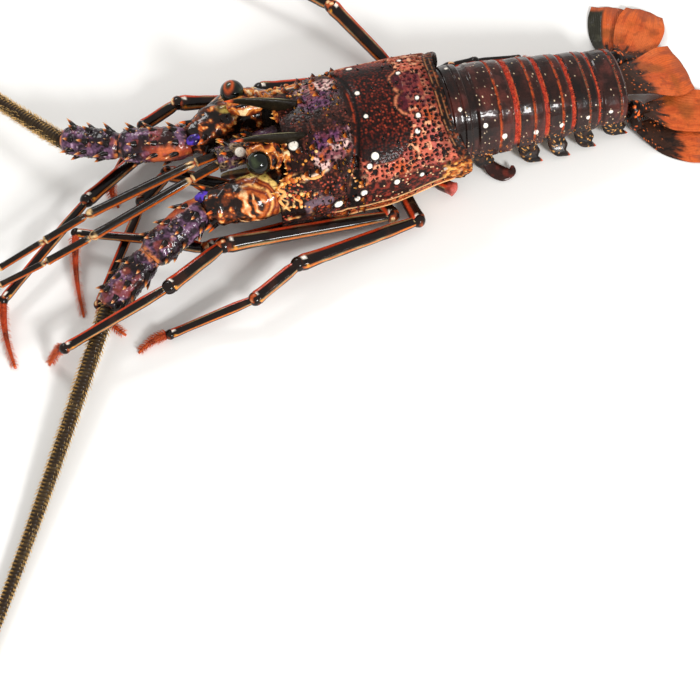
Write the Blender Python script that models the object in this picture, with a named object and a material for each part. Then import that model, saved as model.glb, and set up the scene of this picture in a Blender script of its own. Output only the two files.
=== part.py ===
"""A spiny lobster at life size, lying on its belly with its legs and feelers drawn forward.

The head points to -X, the back is +Z and the animal's left side is -Y. The origin is the middle of
the breastplate's flat underside, on the ground. Sizes and places are in millimetres until an object
is made, which turns them into metres.
"""

import math
import random

import bmesh
import bpy
import numpy as np
from mathutils import Vector

TO_METRES = 0.001
GAP = 0.3
SINK = 1.2
SEED = 11

# Carapace: the shell over head and thorax
CARAPACE_FRONT = -48.0
CARAPACE_REAR = 46.5
CARAPACE_WING = 10.5
CARAPACE_HALF_WIDTH = 43.0
CARAPACE_LEAN = 4.0
CARAPACE_BACK = 59.0
CARAPACE_WAIST = 21.0
CARAPACE_FLOOR = 12.5
CARAPACE_LIP = 10.6
CERVICAL_GROOVE = -6.0
COLLAR_GROOVE = 0.947
RIM_SHARE = 0.94
HORN_LENGTH = 38.0
EYE_RADIUS = 6.5

# Breastplate under the carapace
BREAST_REAR_HALF = 22.0
BREAST_FRONT_HALF = 12.0
BREAST_REAR = 44.0

# Tail: where each ring of the tail ends behind, and how wide and high the tail is along its length
TAIL_JOINTS = (47.5, 60.0, 86.0, 105.0, 122.0, 139.0, 161.0)
TAIL_HALF_WIDTH = (29.0, 24.0)
TAIL_BACK = (52.0, 33.0)
TAIL_BELLY = 13.0

# Antennae: centre line of each peduncle segment, and the whip's base radius and length
ANTENNA_RADIUS = 9.6
WHIP_RADIUS = 4.6
WHIP_LENGTH = 390.0

LEG_SIDES = 8
THORN_RADIUS = 1.8


def vec(x, y, z):
    return Vector((x, y, z))


def material(name, colour, roughness=0.35, metallic=0.0):
    made = bpy.data.materials.new(name)
    made.use_nodes = True
    shader = made.node_tree.nodes["Principled BSDF"]
    shader.inputs["Base Color"].default_value = (*colour, 1.0)
    shader.inputs["Roughness"].default_value = roughness
    shader.inputs["Metallic"].default_value = metallic
    made.diffuse_color = (*colour, 1.0)
    return made


def clear_scene():
    for old in list(bpy.data.objects):
        bpy.data.objects.remove(old, do_unlink=True)


# Mesh helpers


def smooth(t):
    t = min(1.0, max(0.0, t))
    return t * t * (3 - 2 * t)


def mix(a, b, t):
    return a + (b - a) * t


def on_floor(point):
    return Vector((point.x, point.y, max(point.z, 0.0)))


def skin(rings):
    """A closed surface through rings of equally many points. A ring at a tip is one point."""
    mesh = bmesh.new()
    rows = [[mesh.verts.new(on_floor(p)) for p in ring] for ring in rings]
    for a, b in zip(rows, rows[1:]):
        if len(a) == 1 or len(b) == 1:
            one, many = (a, b) if len(a) == 1 else (b, a)
            for i in range(len(many)):
                mesh.faces.new((one[0], many[i], many[(i + 1) % len(many)]))
            continue
        for i in range(len(a)):
            j = (i + 1) % len(a)
            mesh.faces.new((a[i], a[j], b[j], b[i]))
    for row in (rows[0], rows[-1]):
        if len(row) > 2:
            mesh.faces.new(row)
    bmesh.ops.remove_doubles(mesh, verts=mesh.verts, dist=0.01)
    bmesh.ops.recalc_face_normals(mesh, faces=mesh.faces)
    bmesh.ops.triangulate(mesh, faces=mesh.faces)
    return mesh


def tangents_of(path, start_normal=None, end_normal=None):
    """The direction of a path at each of its points, with its two ends set where they are given."""
    tangents = []
    for i in range(len(path)):
        before = path[max(i - 1, 0)]
        after = path[min(i + 1, len(path) - 1)]
        tangents.append((after - before).normalized())
    if start_normal is not None:
        tangents[0] = start_normal.normalized()
    if end_normal is not None:
        tangents[-1] = end_normal.normalized()
    return tangents


def frames(tangents):
    """For each tangent of a path, two directions across it that turn as little as possible."""
    across = tangents[0].cross(vec(0, 0, 1))
    if across.length < 0.05:
        across = vec(0, 1, 0)
    found = []
    for tangent in tangents:
        across = (across - tangent * across.dot(tangent)).normalized()
        found.append((across, across.cross(tangent)))
    return found


def tube(path, radii, sides, flat=1.0, start_normal=None, end_normal=None):
    """A closed tube along a path. flat squeezes it from above, and a radius of 0 is a point."""
    return tube_along(path, radii, tangents_of(path, start_normal, end_normal), sides, flat)


def tube_along(path, radii, tangents, sides, flat):
    rings = []
    for point, radius, (across, up) in zip(path, radii, frames(tangents)):
        if radius == 0:
            rings.append([point])
            continue
        ring = []
        for k in range(sides):
            angle = 2 * math.pi * (k + 0.5) / sides
            ring.append(point + across * radius * math.cos(angle) + up * radius * flat * math.sin(angle))
        rings.append(ring)
    return skin(rings)


def spine(foot, direction, length, radius, sides=5, hook=0.0):
    """A thorn whose foot is sunk into what it grows from. hook bends its tip forward, towards -X."""
    direction = direction.normalized()
    start = foot - direction * SINK
    tip = foot + direction * length + vec(-hook, 0, 0)
    middle = foot + direction * length * 0.5 + vec(-hook * 0.2, 0, 0)
    if hook:
        return tube([start, middle, tip], [radius, radius * 0.62, 0], sides)
    return tube([start, tip], [radius, 0], sides)


def largest_part(mesh):
    """Deletes every closed surface of the mesh but the one that holds the most."""
    unseen = set(mesh.faces)
    parts = []
    while unseen:
        stack = [unseen.pop()]
        part = list(stack)
        while stack:
            for edge in stack.pop().edges:
                for face in edge.link_faces:
                    if face in unseen:
                        unseen.discard(face)
                        stack.append(face)
                        part.append(face)
        volume = sum(f.calc_center_median().dot(f.normal) * f.calc_area() for f in part) / 3
        parts.append((volume, part))
    parts.sort(key=lambda item: item[0])
    doomed = [face for _, part in parts[:-1] for face in part]
    bmesh.ops.delete(mesh, geom=doomed, context="FACES")


def put(name, mesh, paint, solver="EXACT", pieces=()):
    """Makes the node: the mesh, with its pieces joined to it by one union, as one closed body."""
    bmesh.ops.scale(mesh, vec=(TO_METRES,) * 3, verts=mesh.verts)
    data = bpy.data.meshes.new(name)
    mesh.to_mesh(data)
    mesh.free()
    node = bpy.data.objects.new(name, data)
    bpy.context.scene.collection.objects.link(node)
    if pieces:
        fuse(node, pieces, solver)
    node.data.materials.clear()
    node.data.materials.append(paint)
    node.data.shade_smooth()
    node.data.set_sharp_from_angle(angle=math.radians(35))
    return node


def fuse(node, pieces, solver):
    """Joins closed pieces to a node by one Boolean union, then keeps its largest closed surface."""
    group = bpy.data.collections.new(node.name + "_pieces")
    bpy.context.scene.collection.children.link(group)
    for piece in pieces:
        bmesh.ops.scale(piece, vec=(TO_METRES,) * 3, verts=piece.verts)
        data = bpy.data.meshes.new("piece")
        piece.to_mesh(data)
        piece.free()
        group.objects.link(bpy.data.objects.new("piece", data))
    union = node.modifiers.new("union", "BOOLEAN")
    union.operation = "UNION"
    union.operand_type = "COLLECTION"
    union.collection = group
    union.solver = solver
    if solver == "EXACT":
        union.use_self = True
    bpy.context.view_layer.update()
    graph = bpy.context.evaluated_depsgraph_get()
    joined = bmesh.new()
    joined.from_mesh(node.evaluated_get(graph).to_mesh())
    node.modifiers.clear()
    bmesh.ops.triangulate(joined, faces=joined.faces)
    bmesh.ops.dissolve_degenerate(joined, dist=2e-5, edges=joined.edges)
    bmesh.ops.triangulate(joined, faces=joined.faces)
    largest_part(joined)
    loose = [edge for edge in joined.edges if not edge.link_faces]
    bmesh.ops.delete(joined, geom=loose, context="EDGES")
    joined.to_mesh(node.data)
    joined.free()
    for helper in list(group.objects):
        bpy.data.objects.remove(helper, do_unlink=True)
    bpy.data.collections.remove(group)


# Carapace


# The shell's section runs from this angle below its widest line on the left to the same on the right.
LIP_ANGLE = 30
LIP_RISE = math.sin(math.radians(LIP_ANGLE)) ** 0.9


def bulge(value, power):
    return math.copysign(abs(value) ** power, value)


def carapace_point(along, angle):
    """A point of the shell. along runs 0 to 1 from front to rear, and angle in degrees from the left
    edge over the back to the right edge, 90 at the middle of the back."""
    turn = math.radians(angle)
    across, rise = math.cos(turn), math.sin(turn)
    side = abs(across)
    rear = CARAPACE_REAR + CARAPACE_WING * side ** 4
    x = mix(CARAPACE_FRONT, rear, along)
    width = CARAPACE_HALF_WIDTH * (0.94 + 0.06 * smooth(along / 0.3) - 0.1 * smooth((along - 0.45) / 0.55))
    centre = -CARAPACE_LEAN * (1 - smooth(x / CARAPACE_REAR))
    back = CARAPACE_BACK - 9.5 * (1 - smooth(along / 0.5)) - 4.0 * smooth((along - 0.72) / 0.28)
    groove_at = CERVICAL_GROOVE - 14.0 * side ** 2
    dip = 1.7 * math.exp(-(((x - groove_at) / 2.6) ** 2)) * smooth((rise + 0.3) / 0.5)
    dip += 1.1 * math.exp(-(((along - COLLAR_GROOVE) / 0.016) ** 2))
    lip = mix(CARAPACE_LIP, CARAPACE_FLOOR, smooth((along - 0.28) / 0.2))
    height = back - CARAPACE_WAIST - dip if rise > 0 else (CARAPACE_WAIST - lip) / LIP_RISE
    reach = bulge(across, 0.9) if rise > 0 else math.copysign(1 - 0.16 * rise * rise, across)
    y = centre - reach * (width - dip)
    z = CARAPACE_WAIST + bulge(rise, 0.9) * height
    return vec(x, y, z)


def carapace_normal(along, angle):
    one = carapace_point(along + 0.01, angle) - carapace_point(along - 0.01, angle)
    other = carapace_point(along, angle + 1) - carapace_point(along, angle - 1)
    return one.cross(other).normalized() * -1


def carapace_spines():
    """Thorns in rows: large ones on the head, in front of the groove, and short ones behind it."""
    draw = random.Random(SEED)
    made = []
    for angle in (70, 48, 27, 8, -12):
        for along, length in ((0.09, 7.0), (0.175, 6.2), (0.28, 5.2), (0.38, 4.2)):
            for mirrored in (angle, 180 - angle):
                place = along + draw.uniform(-0.012, 0.012)
                foot = carapace_point(place, mirrored)
                out = carapace_normal(place, mirrored) + vec(-1.5, 0, 0.1)
                made.append(spine(foot, out, length * draw.uniform(0.85, 1.1), THORN_RADIUS, 5, 0.8))
    for angle in (78, 56, 34, 12, -8):
        for along in (0.56, 0.66, 0.76, 0.86):
            for mirrored in (angle, 180 - angle):
                place = along + draw.uniform(-0.03, 0.03)
                turned = mirrored + draw.uniform(-5, 5)
                foot = carapace_point(place, turned)
                out = carapace_normal(place, turned) + vec(-0.7, 0, 0)
                made.append(spine(foot, out, draw.uniform(1.8, 2.8), 1.1, 4))
    return made


def horn(side):
    """A frontal horn over the eye: a blade, deeper than it is wide, that sweeps forward and up."""
    path = []
    radii = []
    for step, radius in ((0.0, 6.4), (0.22, 6.0), (0.45, 4.6), (0.7, 3.1), (0.88, 1.7), (1.0, 0.0)):
        rise = 7.0 * math.sin(step * math.pi * 0.6)
        path.append(vec(-38 - HORN_LENGTH * step, side * (11 + 2.5 * step), 46 + rise + 9.0 * step))
        radii.append(radius)
    mesh = tube(path, radii, 8)
    for point in mesh.verts:
        centre = side * (11 + 2.5 * (-38 - point.co.x) / HORN_LENGTH)
        point.co.y = centre + (point.co.y - centre) * 0.5
    return mesh


def make_carapace(paint):
    stations = [0, 0.07, 0.15, 0.25, 0.33, 0.38, 0.42, 0.46, 0.5, 0.56, 0.66, 0.78]
    stations += [COLLAR_GROOVE - 0.03, COLLAR_GROOVE, COLLAR_GROOVE + 0.022, 1.0]
    angles = np.linspace(-LIP_ANGLE, 180 + LIP_ANGLE, 23)
    rings = [[carapace_point(along, a) for a in angles] for along in stations]
    rim = rings[-1]
    inner = [vec(p.x, p.y * RIM_SHARE, mix(CARAPACE_FLOOR, p.z, RIM_SHARE)) for p in rim]
    recess = CARAPACE_REAR - GAP
    inset = 1 - RIM_SHARE
    rings += [inner, [vec(recess, p.y, p.z) for p in inner]]
    last = len(angles) - 1
    ends = [(ring[0], ring[last]) if ring[0].x < recess - 1 else (rim[0], rim[last]) for ring in rings]
    for i, ring in enumerate(rings):
        hollow = i >= len(stations) - 1
        left, right = (inner[0], inner[last]) if hollow else ends[i]
        floor_x = recess if hollow else min(ring[0].x, recess - 1)
        for share in ((0, 0.5, 1) if hollow else (inset / 2, 0.5, 1 - inset / 2)):
            ring.append(vec(floor_x, mix(right.y, left.y, share), CARAPACE_FLOOR))
    mesh = skin(rings)
    pieces = carapace_spines() + [horn(1), horn(-1)]
    put("carapace", mesh, paint, pieces=pieces)


# Breastplate, head front and mouth


def breast_half(x):
    return mix(BREAST_FRONT_HALF, BREAST_REAR_HALF, (x - CARAPACE_FRONT) / (BREAST_REAR - CARAPACE_FRONT))


def make_breastplate(paint):
    rings = []
    for x in (CARAPACE_FRONT, -24, 0, 24, BREAST_REAR):
        half = breast_half(x)
        top = CARAPACE_FLOOR - GAP
        rings.append([
            vec(x, -half, top), vec(x, -half, 2.5), vec(x, -half + 3, 0),
            vec(x, half - 3, 0), vec(x, half, 2.5), vec(x, half, top),
        ])
    put("breastplate", skin(rings), paint)


def breast_side(side):
    """The outward direction of the breastplate's side wall."""
    slope = (BREAST_REAR_HALF - BREAST_FRONT_HALF) / (BREAST_REAR - CARAPACE_FRONT)
    return vec(-slope, side, 0).normalized()


def make_head_front(paint):
    """The plate between the feelers' bases, with its two pairs of thorns."""
    path = [vec(CARAPACE_FRONT - GAP, 0, 33), vec(-60, -1, 34), vec(-74, -3, 34), vec(-86, -5, 33.5)]
    mesh = tube(path, [8.5, 7.0, 6.6, 6.2], 8, 1.25, vec(-1, 0, 0), vec(-1, 0, 0))
    pieces = []
    for x, spread, length in ((-66, 3.2, 5.0), (-79, 3.6, 6.5)):
        for side in (-1, 1):
            foot = vec(x, -2.0 - (-x - 66) * 0.16 + side * spread, 41)
            pieces.append(spine(foot, vec(-0.8, side * 0.2, 1), length, 1.6, 5, 1.5))
    put("head_front", mesh, paint, pieces=pieces)


def make_mouth(paint):
    """The third pair of jaw feet, which close over the mouth."""
    for side, word in ((-1, "left"), (1, "right")):
        path = [
            vec(CARAPACE_FRONT - GAP, side * 6.5, 7.5), vec(-53, side * 7, 10), vec(-58, side * 7.5, 14),
            vec(-68, side * 7.2, 17), vec(-80, side * 6.2, 17.5), vec(-86, side * 5.2, 16),
        ]
        put(
            "jaw_foot_" + word,
            tube(path, [3.6, 3.6, 3.2, 3.0, 2.4, 1.2], 8, 1.0, vec(-1, 0, 0)),
            paint,
        )


# Eyes


def eye_centre(side):
    return vec(-67.2 - side * 2.3, 2.3 + side * 25.0, 49.7)


def make_eyes(stalk_paint, eye_paint):
    for side, word in ((-1, "left"), (1, "right")):
        centre = eye_centre(side)
        root = vec(CARAPACE_FRONT - GAP, centre.y - side * 6.0, 42)
        aim = (centre - root).normalized()
        end = centre - aim * EYE_RADIUS * 0.78
        path = [root, mix(root, end, 0.5), end]
        put("eyestalk_" + word, tube(path, [3.0, 2.9, 3.4], 8, 1.0, vec(-1, 0, 0), aim), stalk_paint)
        ball = bmesh.new()
        bmesh.ops.create_uvsphere(ball, u_segments=14, v_segments=9, radius=EYE_RADIUS)
        turn = aim.to_track_quat("Z", "Y")
        for point in ball.verts:
            local = point.co.copy()
            local.z = max(local.z, -EYE_RADIUS * 0.72)
            point.co = centre + turn @ local
        bmesh.ops.triangulate(ball, faces=ball.faces)
        put("eye_" + word, ball, eye_paint)


# Antennae and antennules


def peduncle_path(side):
    """Centre line of an antenna's peduncle: root, bulge, and the three joints after it."""
    if side < 0:
        places = ((-44, -25, 28), (-70, -31, 28), (-101, -32, 30), (-135, -53, 27), (-164, -71, 14))
    else:
        places = ((-44, 25, 28), (-70, 27, 30), (-100, 12, 31), (-139, 19, 32), (-170, 32, 31))
    return [vec(*place) for place in places]


def joint_normal(path, i):
    return ((path[i + 1] - path[i]).normalized() + (path[i] - path[i - 1]).normalized()).normalized()


def base_spines(start, end, radius):
    """A crown of thorns at the far end of an antenna's base, on its top and its outer and lower sides."""
    axis = (end - start).normalized()
    across = axis.cross(vec(0, 0, 1)).normalized()
    up = across.cross(axis).normalized()
    made = []
    for turn, share, length in ((-35, 0.78, 7.0), (5, 0.82, 8.5), (45, 0.8, 6.0)):
        for angle in (math.radians(turn), math.radians(180 - turn)):
            out = across * math.cos(angle) + up * math.sin(angle)
            foot = mix(start, end, share) + out * radius * 0.84
            made.append(spine(foot, out + axis * 1.1, length, THORN_RADIUS, 5))
    return made


def segment_spines(start, end, radius, draw):
    """Thorns along a peduncle segment in four rows, leaning towards its far end."""
    axis = (end - start).normalized()
    across = axis.cross(vec(0, 0, 1)).normalized()
    up = across.cross(axis).normalized()
    made = []
    for turn, count, length in ((20, 3, 6.5), (62, 3, 4.2), (118, 3, 4.2), (160, 3, 6.5), (205, 2, 4.5)):
        angle = math.radians(turn)
        out = across * math.cos(angle) + up * math.sin(angle)
        for k in range(count):
            share = (k + 0.65 + draw.uniform(-0.12, 0.12)) / (count + 0.3)
            foot = mix(start, end, share) + out * radius * 0.86
            made.append(spine(foot, out + axis * 0.9, length * draw.uniform(0.85, 1.15), 1.7, 5))
    return made


def make_antennae(base_paint, paint, whip_paint):
    draw = random.Random(SEED + 1)
    for side, word in ((-1, "left"), (1, "right")):
        path = peduncle_path(side)
        base_end = joint_normal(path, 2)
        root = vec(CARAPACE_FRONT - GAP, path[0].y, path[0].z)
        base_path = [root, mix(root, path[1], 0.5), path[1], mix(path[1], path[2], 0.55), path[2]]
        put(
            "antenna_base_" + word,
            tube(base_path, [11.5, 13.5, 13.2, 11.5, 9.4], 12, 0.95, vec(-1, 0, 0), base_end),
            base_paint,
            pieces=base_spines(path[1], path[2], 11.0),
        )
        for part in (2, 3):
            start_normal = joint_normal(path, part)
            end_normal = joint_normal(path, part + 1) if part == 2 else (path[4] - path[3]).normalized()
            start = path[part] + start_normal * GAP
            end = path[part + 1]
            radius = ANTENNA_RADIUS if part == 2 else ANTENNA_RADIUS * 0.86
            shares = (0, 0.12, 0.35, 0.65, 0.88, 1)
            swell = (0.82, 1.0, 1.06, 1.04, 1.0, 0.74)
            mesh = tube(
                [mix(start, end, s) for s in shares], [radius * s for s in swell], 10, 0.92,
                start_normal, end_normal,
            )
            pieces = segment_spines(start, end, radius, draw)
            put(f"antenna_segment{part}_{word}", mesh, paint, pieces=pieces)
        make_whip(side, word, path, whip_paint)


# Where each antenna's whip points, how far it turns on the way and how soon it has come down
WHIPS = {-1: (vec(-0.462, -0.887, 0), -2.0, 0.42), 1: (vec(-0.66, 0.75, 0), 10.0, 0.85)}


def whip_point(side, start, share):
    """A point of an antenna's whip, from its start to its tip on the ground."""
    heading, bend, down = WHIPS[side]
    turn = math.radians(bend) * share * -side
    out = vec(
        heading.x * math.cos(turn) - heading.y * math.sin(turn),
        heading.y * math.cos(turn) + heading.x * math.sin(turn),
        0,
    )
    place = start + out * WHIP_LENGTH * share
    radius = whip_radius(share)
    return vec(place.x, place.y, mix(start.z, radius + 1.0, smooth((share / down + 0.25) / 1.25)))


def whip_radius(share):
    return mix(WHIP_RADIUS, 0.55, share ** 1.1)


def make_whip(side, word, peduncle, paint):
    """An antenna's whip in three lengths, each ending where the next begins."""
    heading = (peduncle[4] - peduncle[3]).normalized()
    start = peduncle[4] + heading * GAP
    lengths = (("near", 0.0, 0.3, 9, 8), ("middle", 0.3, 0.65, 7, 7), ("tip", 0.65, 1.0, 6, 6))
    for part, low, high, count, sides in lengths:
        path = [whip_point(side, start, mix(low, high, k / count)) for k in range(count + 1)]
        radii = [whip_radius(mix(low, high, k / count)) for k in range(count + 1)]
        before = whip_point(side, start, low + 0.01) - whip_point(side, start, max(low - 0.01, 0))
        after = whip_point(side, start, high + 0.01) - whip_point(side, start, high - 0.01)
        first = heading if low == 0 else before.normalized()
        if low:
            path[0] = path[0] + first * GAP
        put(f"antenna_whip_{part}_{word}", tube(path, radii, sides, 1.0, first, after), paint)


def antennule_path(side):
    if side < 0:
        places = ((-86.3, -8.2, 34), (-103, -15.5, 36.5), (-165, -35, 30), (-192, -42, 26), (-220, -48, 22))
    else:
        places = ((-86.3, -1.8, 34), (-99, -5.5, 36.5), (-165, -21, 31), (-191, -29, 27), (-219, -38, 23))
    return [vec(*place) for place in places]


# For each antennule flagellum: which way it heads and its sideways bend by the tip
FLAGELLA = {
    (-1, "outer"): (vec(-0.93, -0.37, 0), -9.0),
    (-1, "inner"): (vec(-0.97, -0.24, 0), -4.0),
    (1, "outer"): (vec(-1.0, -0.02, 0), 9.0),
    (1, "inner"): (vec(-0.99, -0.14, 0), 2.0),
}
FLAGELLUM_LENGTH = 92.0


def make_antennules(paint):
    """The small feelers: a stalk of three long segments, and two thin flagella on each."""
    for side, word in ((-1, "left"), (1, "right")):
        path = antennule_path(side)
        points, radii = [], []
        for a, b, radius in zip(path, path[1:], (2.6, 2.6, 2.2, 1.9)):
            for share, swell in ((0.0, 0.82), (0.12, 1.0), (0.88, 1.0)):
                points.append(mix(a, b, share))
                radii.append(radius * swell)
        aim = (path[-1] - path[-2]).normalized()
        points.append(path[-1])
        radii.append(2.3)
        put("antennule_" + word, tube(points, radii, 8, 1.0, vec(-1, 0, 0), aim), paint)
        for name, twin in (("outer", side), ("inner", -side)):
            heading, bend = FLAGELLA[side, name]
            across = vec(-heading.y, heading.x, 0)
            start = path[-1] + aim * GAP + aim.cross(vec(0, 0, 1)).normalized() * twin * 1.2
            route = []
            for k in range(8):
                share = k / 7
                place = start + heading * FLAGELLUM_LENGTH * share - across * bend * share ** 2
                route.append(vec(place.x, place.y, mix(start.z, 3.0, smooth(share * 0.9))))
            sizes = [mix(0.95, 0.45, k / 7) for k in range(8)]
            put(f"antennule_{name}_{word}", tube(route, sizes, 6, 1.0, aim), paint)


# Legs

# Where each leg's joints are: hip, knee, wrist, ankle and tip. The left fifth leg is a healed stump.
LEGS = {
    "left_1": ((-58, -20, 5.5), (-116, 8, 11), (-134, -5, 7), (-170, -64, 4.6), (-159, -84, 0.6)),
    "left_2": ((-22, -40, 5), (-104, -46, 9.5), (-127, -38, 15), (-175, -18, 10), (-180, -67, 0.6)),
    "left_3": ((6, -50, 7.5), (-94, -52, 20), (-128, -73, 25), (-191, -92, 17), (-203, -92, 0.6)),
    "left_4": ((20, -57, 8), (-55, -72, 16), (-83, -86, 13), (-134, -92, 4.5), (-153, -97, 0.6)),
    "right_1": ((-56, 24, 6), (-121, 30, 11), (-165, 0, 13), (-222, -50, 8), (-222, -89, 0.6)),
    "right_2": ((-24, 43, 5), (-101, 48, 21), (-124, 42, 14), (-149, 15, 5.5), (-149, -1, 0.6)),
    "right_3": ((4, 50, 5.5), (-50, 57, 4.9), (-68, 40, 4.1), (-100, 40, 3.2), (-113, 41, 0.6)),
    "right_4": ((33, 50, 8), (5, 95, 22), (-14, 118, 20), (-58, 150, 6), (-75, 158, 0.6)),
    "right_5": ((42, 38, 5), (68, 43, 7), (84, 44, 6), (112, 42, 3.4), (124, 40, 0.6)),
}
LEG_ROOTS = {"1": -40.0, "2": -22.0, "3": -3.0, "4": 16.0, "5": 33.0}
LEG_RADIUS = {"1": 4.3, "2": 4.1, "3": 4.5, "4": 4.3, "5": 3.6}
STUMP = (vec(38, -33, 5), vec(46, -42, 8))
ROOT_HEIGHT = 5.2


def leg_root(name):
    side = -1 if name.startswith("left") else 1
    x = LEG_ROOTS[name[-1]]
    return vec(x, side * breast_half(x), ROOT_HEIGHT) + breast_side(side) * GAP, breast_side(side)


def bend_room(before, after, radius):
    """How far past a joint a limb's next ring stands, so that the two stay apart inside the bend."""
    return 0.4 + 1.25 * radius * math.sin(before.angle(after) / 2)


def limb(joints, radii_of, start_normal=None, end_normal=None):
    """A jointed tube. Each segment has a neck at its start, swells, and is thick at its far end."""
    aims = [(b - a).normalized() for a, b in zip(joints, joints[1:])]
    aims = [start_normal or aims[0], *aims, end_normal or aims[-1]]
    points, radii, tangents = [], [], []
    for i, (first, last) in enumerate(radii_of):
        a, b = joints[i], joints[i + 1]
        before, aim, after = aims[i:i + 3]
        length = (b - a).length
        near = max(0.14, bend_room(before, aim, first) / length)
        far = 1 - max(0.1, bend_room(aim, after, last) / length)
        for share, swell in ((0.0, 0.86), (near, 1.0), (far, 1.04)):
            points.append(mix(a, b, share))
            radii.append(mix(first, last, share) * swell)
            tangents.append(aim if share else (before + aim).normalized())
    points.append(joints[-1])
    radii.append(radii_of[-1][1] * 0.86)
    tangents[0] = aims[0]
    tangents.append(aims[-1])
    return tube_along(points, radii, tangents, LEG_SIDES, 0.92)


def make_legs(paint):
    for name, joints in LEGS.items():
        hip, knee, wrist, ankle, tip = (vec(*joint) for joint in joints)
        root, normal = leg_root(name)
        radius = LEG_RADIUS[name[-1]]
        bend = ((wrist - knee).normalized() + (knee - hip).normalized()).normalized()
        coxa = root + normal * 7
        upper = limb(
            [root, coxa, hip, knee],
            ((radius, radius * 1.05), (radius * 0.98, radius * 0.98), (radius * 0.92, radius * 1.02)),
            normal, bend,
        )
        put(f"leg_{name}_upper", upper, paint)
        start = knee + bend * GAP
        lower = limb(
            [start, wrist, ankle, tip],
            ((radius * 0.85, radius * 0.9), (radius * 0.74, radius * 0.56), (radius * 0.55, 0.7)),
            bend,
        )
        put(f"leg_{name}_lower", lower, paint)
    root, normal = leg_root("left_5")
    stump = limb([root, *STUMP], ((3.9, 4.1), (4.0, 3.7)), normal)
    put("leg_left_5_stump", stump, paint)


# Tail


def tail_share(x):
    return (x - TAIL_JOINTS[0]) / (TAIL_JOINTS[-1] - TAIL_JOINTS[0])


def tail_ring(x, scale):
    """A cross-section of the tail: an arch over a slightly hollow belly."""
    share = tail_share(x)
    half = mix(*TAIL_HALF_WIDTH, share) * scale
    top = mix(*TAIL_BACK, share ** 1.25)
    ring = []
    for k in range(17):
        turn = math.pi * k / 16
        y = -bulge(math.cos(turn), 0.82) * half
        z = TAIL_BELLY + bulge(math.sin(turn), 0.85) * (top - TAIL_BELLY) * scale
        ring.append(vec(x, y, z))
    for across in (0.78, 0.0, -0.78):
        ring.append(vec(x, half * across, TAIL_BELLY + (1.5 if across else 3.0)))
    return ring


# Side flap of each tail ring: where it begins and ends along the ring, how deep it hangs and how far out
PLEURA = (
    (0.22, 0.95, 6.0, 1.5), (0.08, 0.62, 11.6, 3.0), (0.2, 0.98, 11.3, 6.5),
    (0.2, 1.0, 11.2, 7.5), (0.2, 1.0, 10.8, 6.0), (0.2, 0.95, 9.6, 3.5),
)
# Its outline from its front root round to its rear root, as shares of its breadth and depth. Its
# lower rear corner is a hook that points back.
FLAP_OUTLINE = (
    (0.0, 0.5), (0.02, -0.2), (0.14, -0.62), (0.42, -0.9), (0.72, -0.97), (1.04, -1.0),
    (0.84, -0.7), (0.93, -0.44), (0.82, -0.12), (0.84, 0.5),
)


def pleuron(index, side, x0, x1, half):
    """The hooked side flap of a tail ring, pointing down, out and back."""
    begin, end, depth, flare = PLEURA[index]
    rings = []
    for face in (0.0, 1.0):
        ring = []
        for share, drop in FLAP_OUTLINE:
            x = mix(x0, x1, mix(begin, end, share))
            out = flare * smooth(-drop) if drop < 0 else -1.0
            thick = mix(2.6, 0.9, smooth(-drop))
            ring.append(vec(x, side * (half + out - thick * face - 0.4), TAIL_BELLY + drop * depth))
        rings.append(ring)
    return skin(rings)


def swimmeret(side, x, half):
    """A leaf-shaped paddle under the tail."""
    rings = []
    for share, width in ((0.0, 2.6), (0.4, 4.2), (0.8, 3.6), (1.0, 1.8)):
        centre = vec(x + 7.5 * share, side * (half * 0.52 + 4.5 * share), TAIL_BELLY + 4.2 - 13.5 * share)
        ring = []
        for dy, dx in ((-1, -0.5), (1, -0.5), (1, 0.5), (-1, 0.5)):
            ring.append(centre + vec(dx * 1.2, dy * width, 0))
        rings.append(ring)
    return skin(rings)


def curled_swimmeret():
    """The left paddle of the second ring, which has slipped out beside the tail and curls back."""
    path = [
        vec(68, -22, 13), vec(70.5, -27, 7), vec(74, -32, 3.4),
        vec(79, -35.5, 2.4), vec(84, -35.5, 3), vec(85.5, -32.5, 4.5),
    ]
    return tube(path, [2.6, 3.4, 4.8, 4.8, 3.0, 0.8], 8, 0.3)


# How full a tail ring is behind its neck, with a shallow groove across it
RING_PROFILE = ((0.61, 1.0), (0.67, 0.968), (0.73, 1.0), (1.0, 0.99))


def make_tail(paint):
    for index, (x0, x1) in enumerate(zip(TAIL_JOINTS, TAIL_JOINTS[1:])):
        length = x1 - x0
        neck = 0.96 if index == 0 else 0.92
        profile = ((0.0, neck), (0.13, neck + 0.01), (0.21, 1.0), *RING_PROFILE)
        rings = [tail_ring(mix(x0 + GAP, x1, share), scale) for share, scale in profile]
        half = mix(*TAIL_HALF_WIDTH, tail_share(x0 + length * 0.6))
        pieces = []
        for side in (-1, 1):
            pieces.append(pleuron(index, side, x0, x1, half))
            if index == 1 and side < 0:
                pieces.append(curled_swimmeret())
            elif 1 <= index <= 4:
                pieces.append(swimmeret(side, x0 + length * 0.25, half))
        put(f"tail_ring_{index + 1}", skin(rings), paint, pieces=pieces)


# Tail fan

BLADE_COLUMNS = 8
# Half-widths of a blade at even steps from its root to its end: towards the telson, and away from it
OUTER_BLADE = ((3, 4), (8, 8.5), (12, 11.5), (14, 13.5), (15, 14.8), (14.5, 15), (12.5, 13))
INNER_BLADE = ((3, 3), (9, 6), (14, 8), (17.5, 9.5), (19, 10.5), (18, 10), (12, 6))
TELSON_BLADE = ((9.5, 9.5), (11.5, 11.5), (13, 13.2), (14.5, 15.5), (16, 18.5), (16.8, 20.5), (14, 17))
RAY_HEIGHT = 0.55
BLADE_BOW = 2.4


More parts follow.
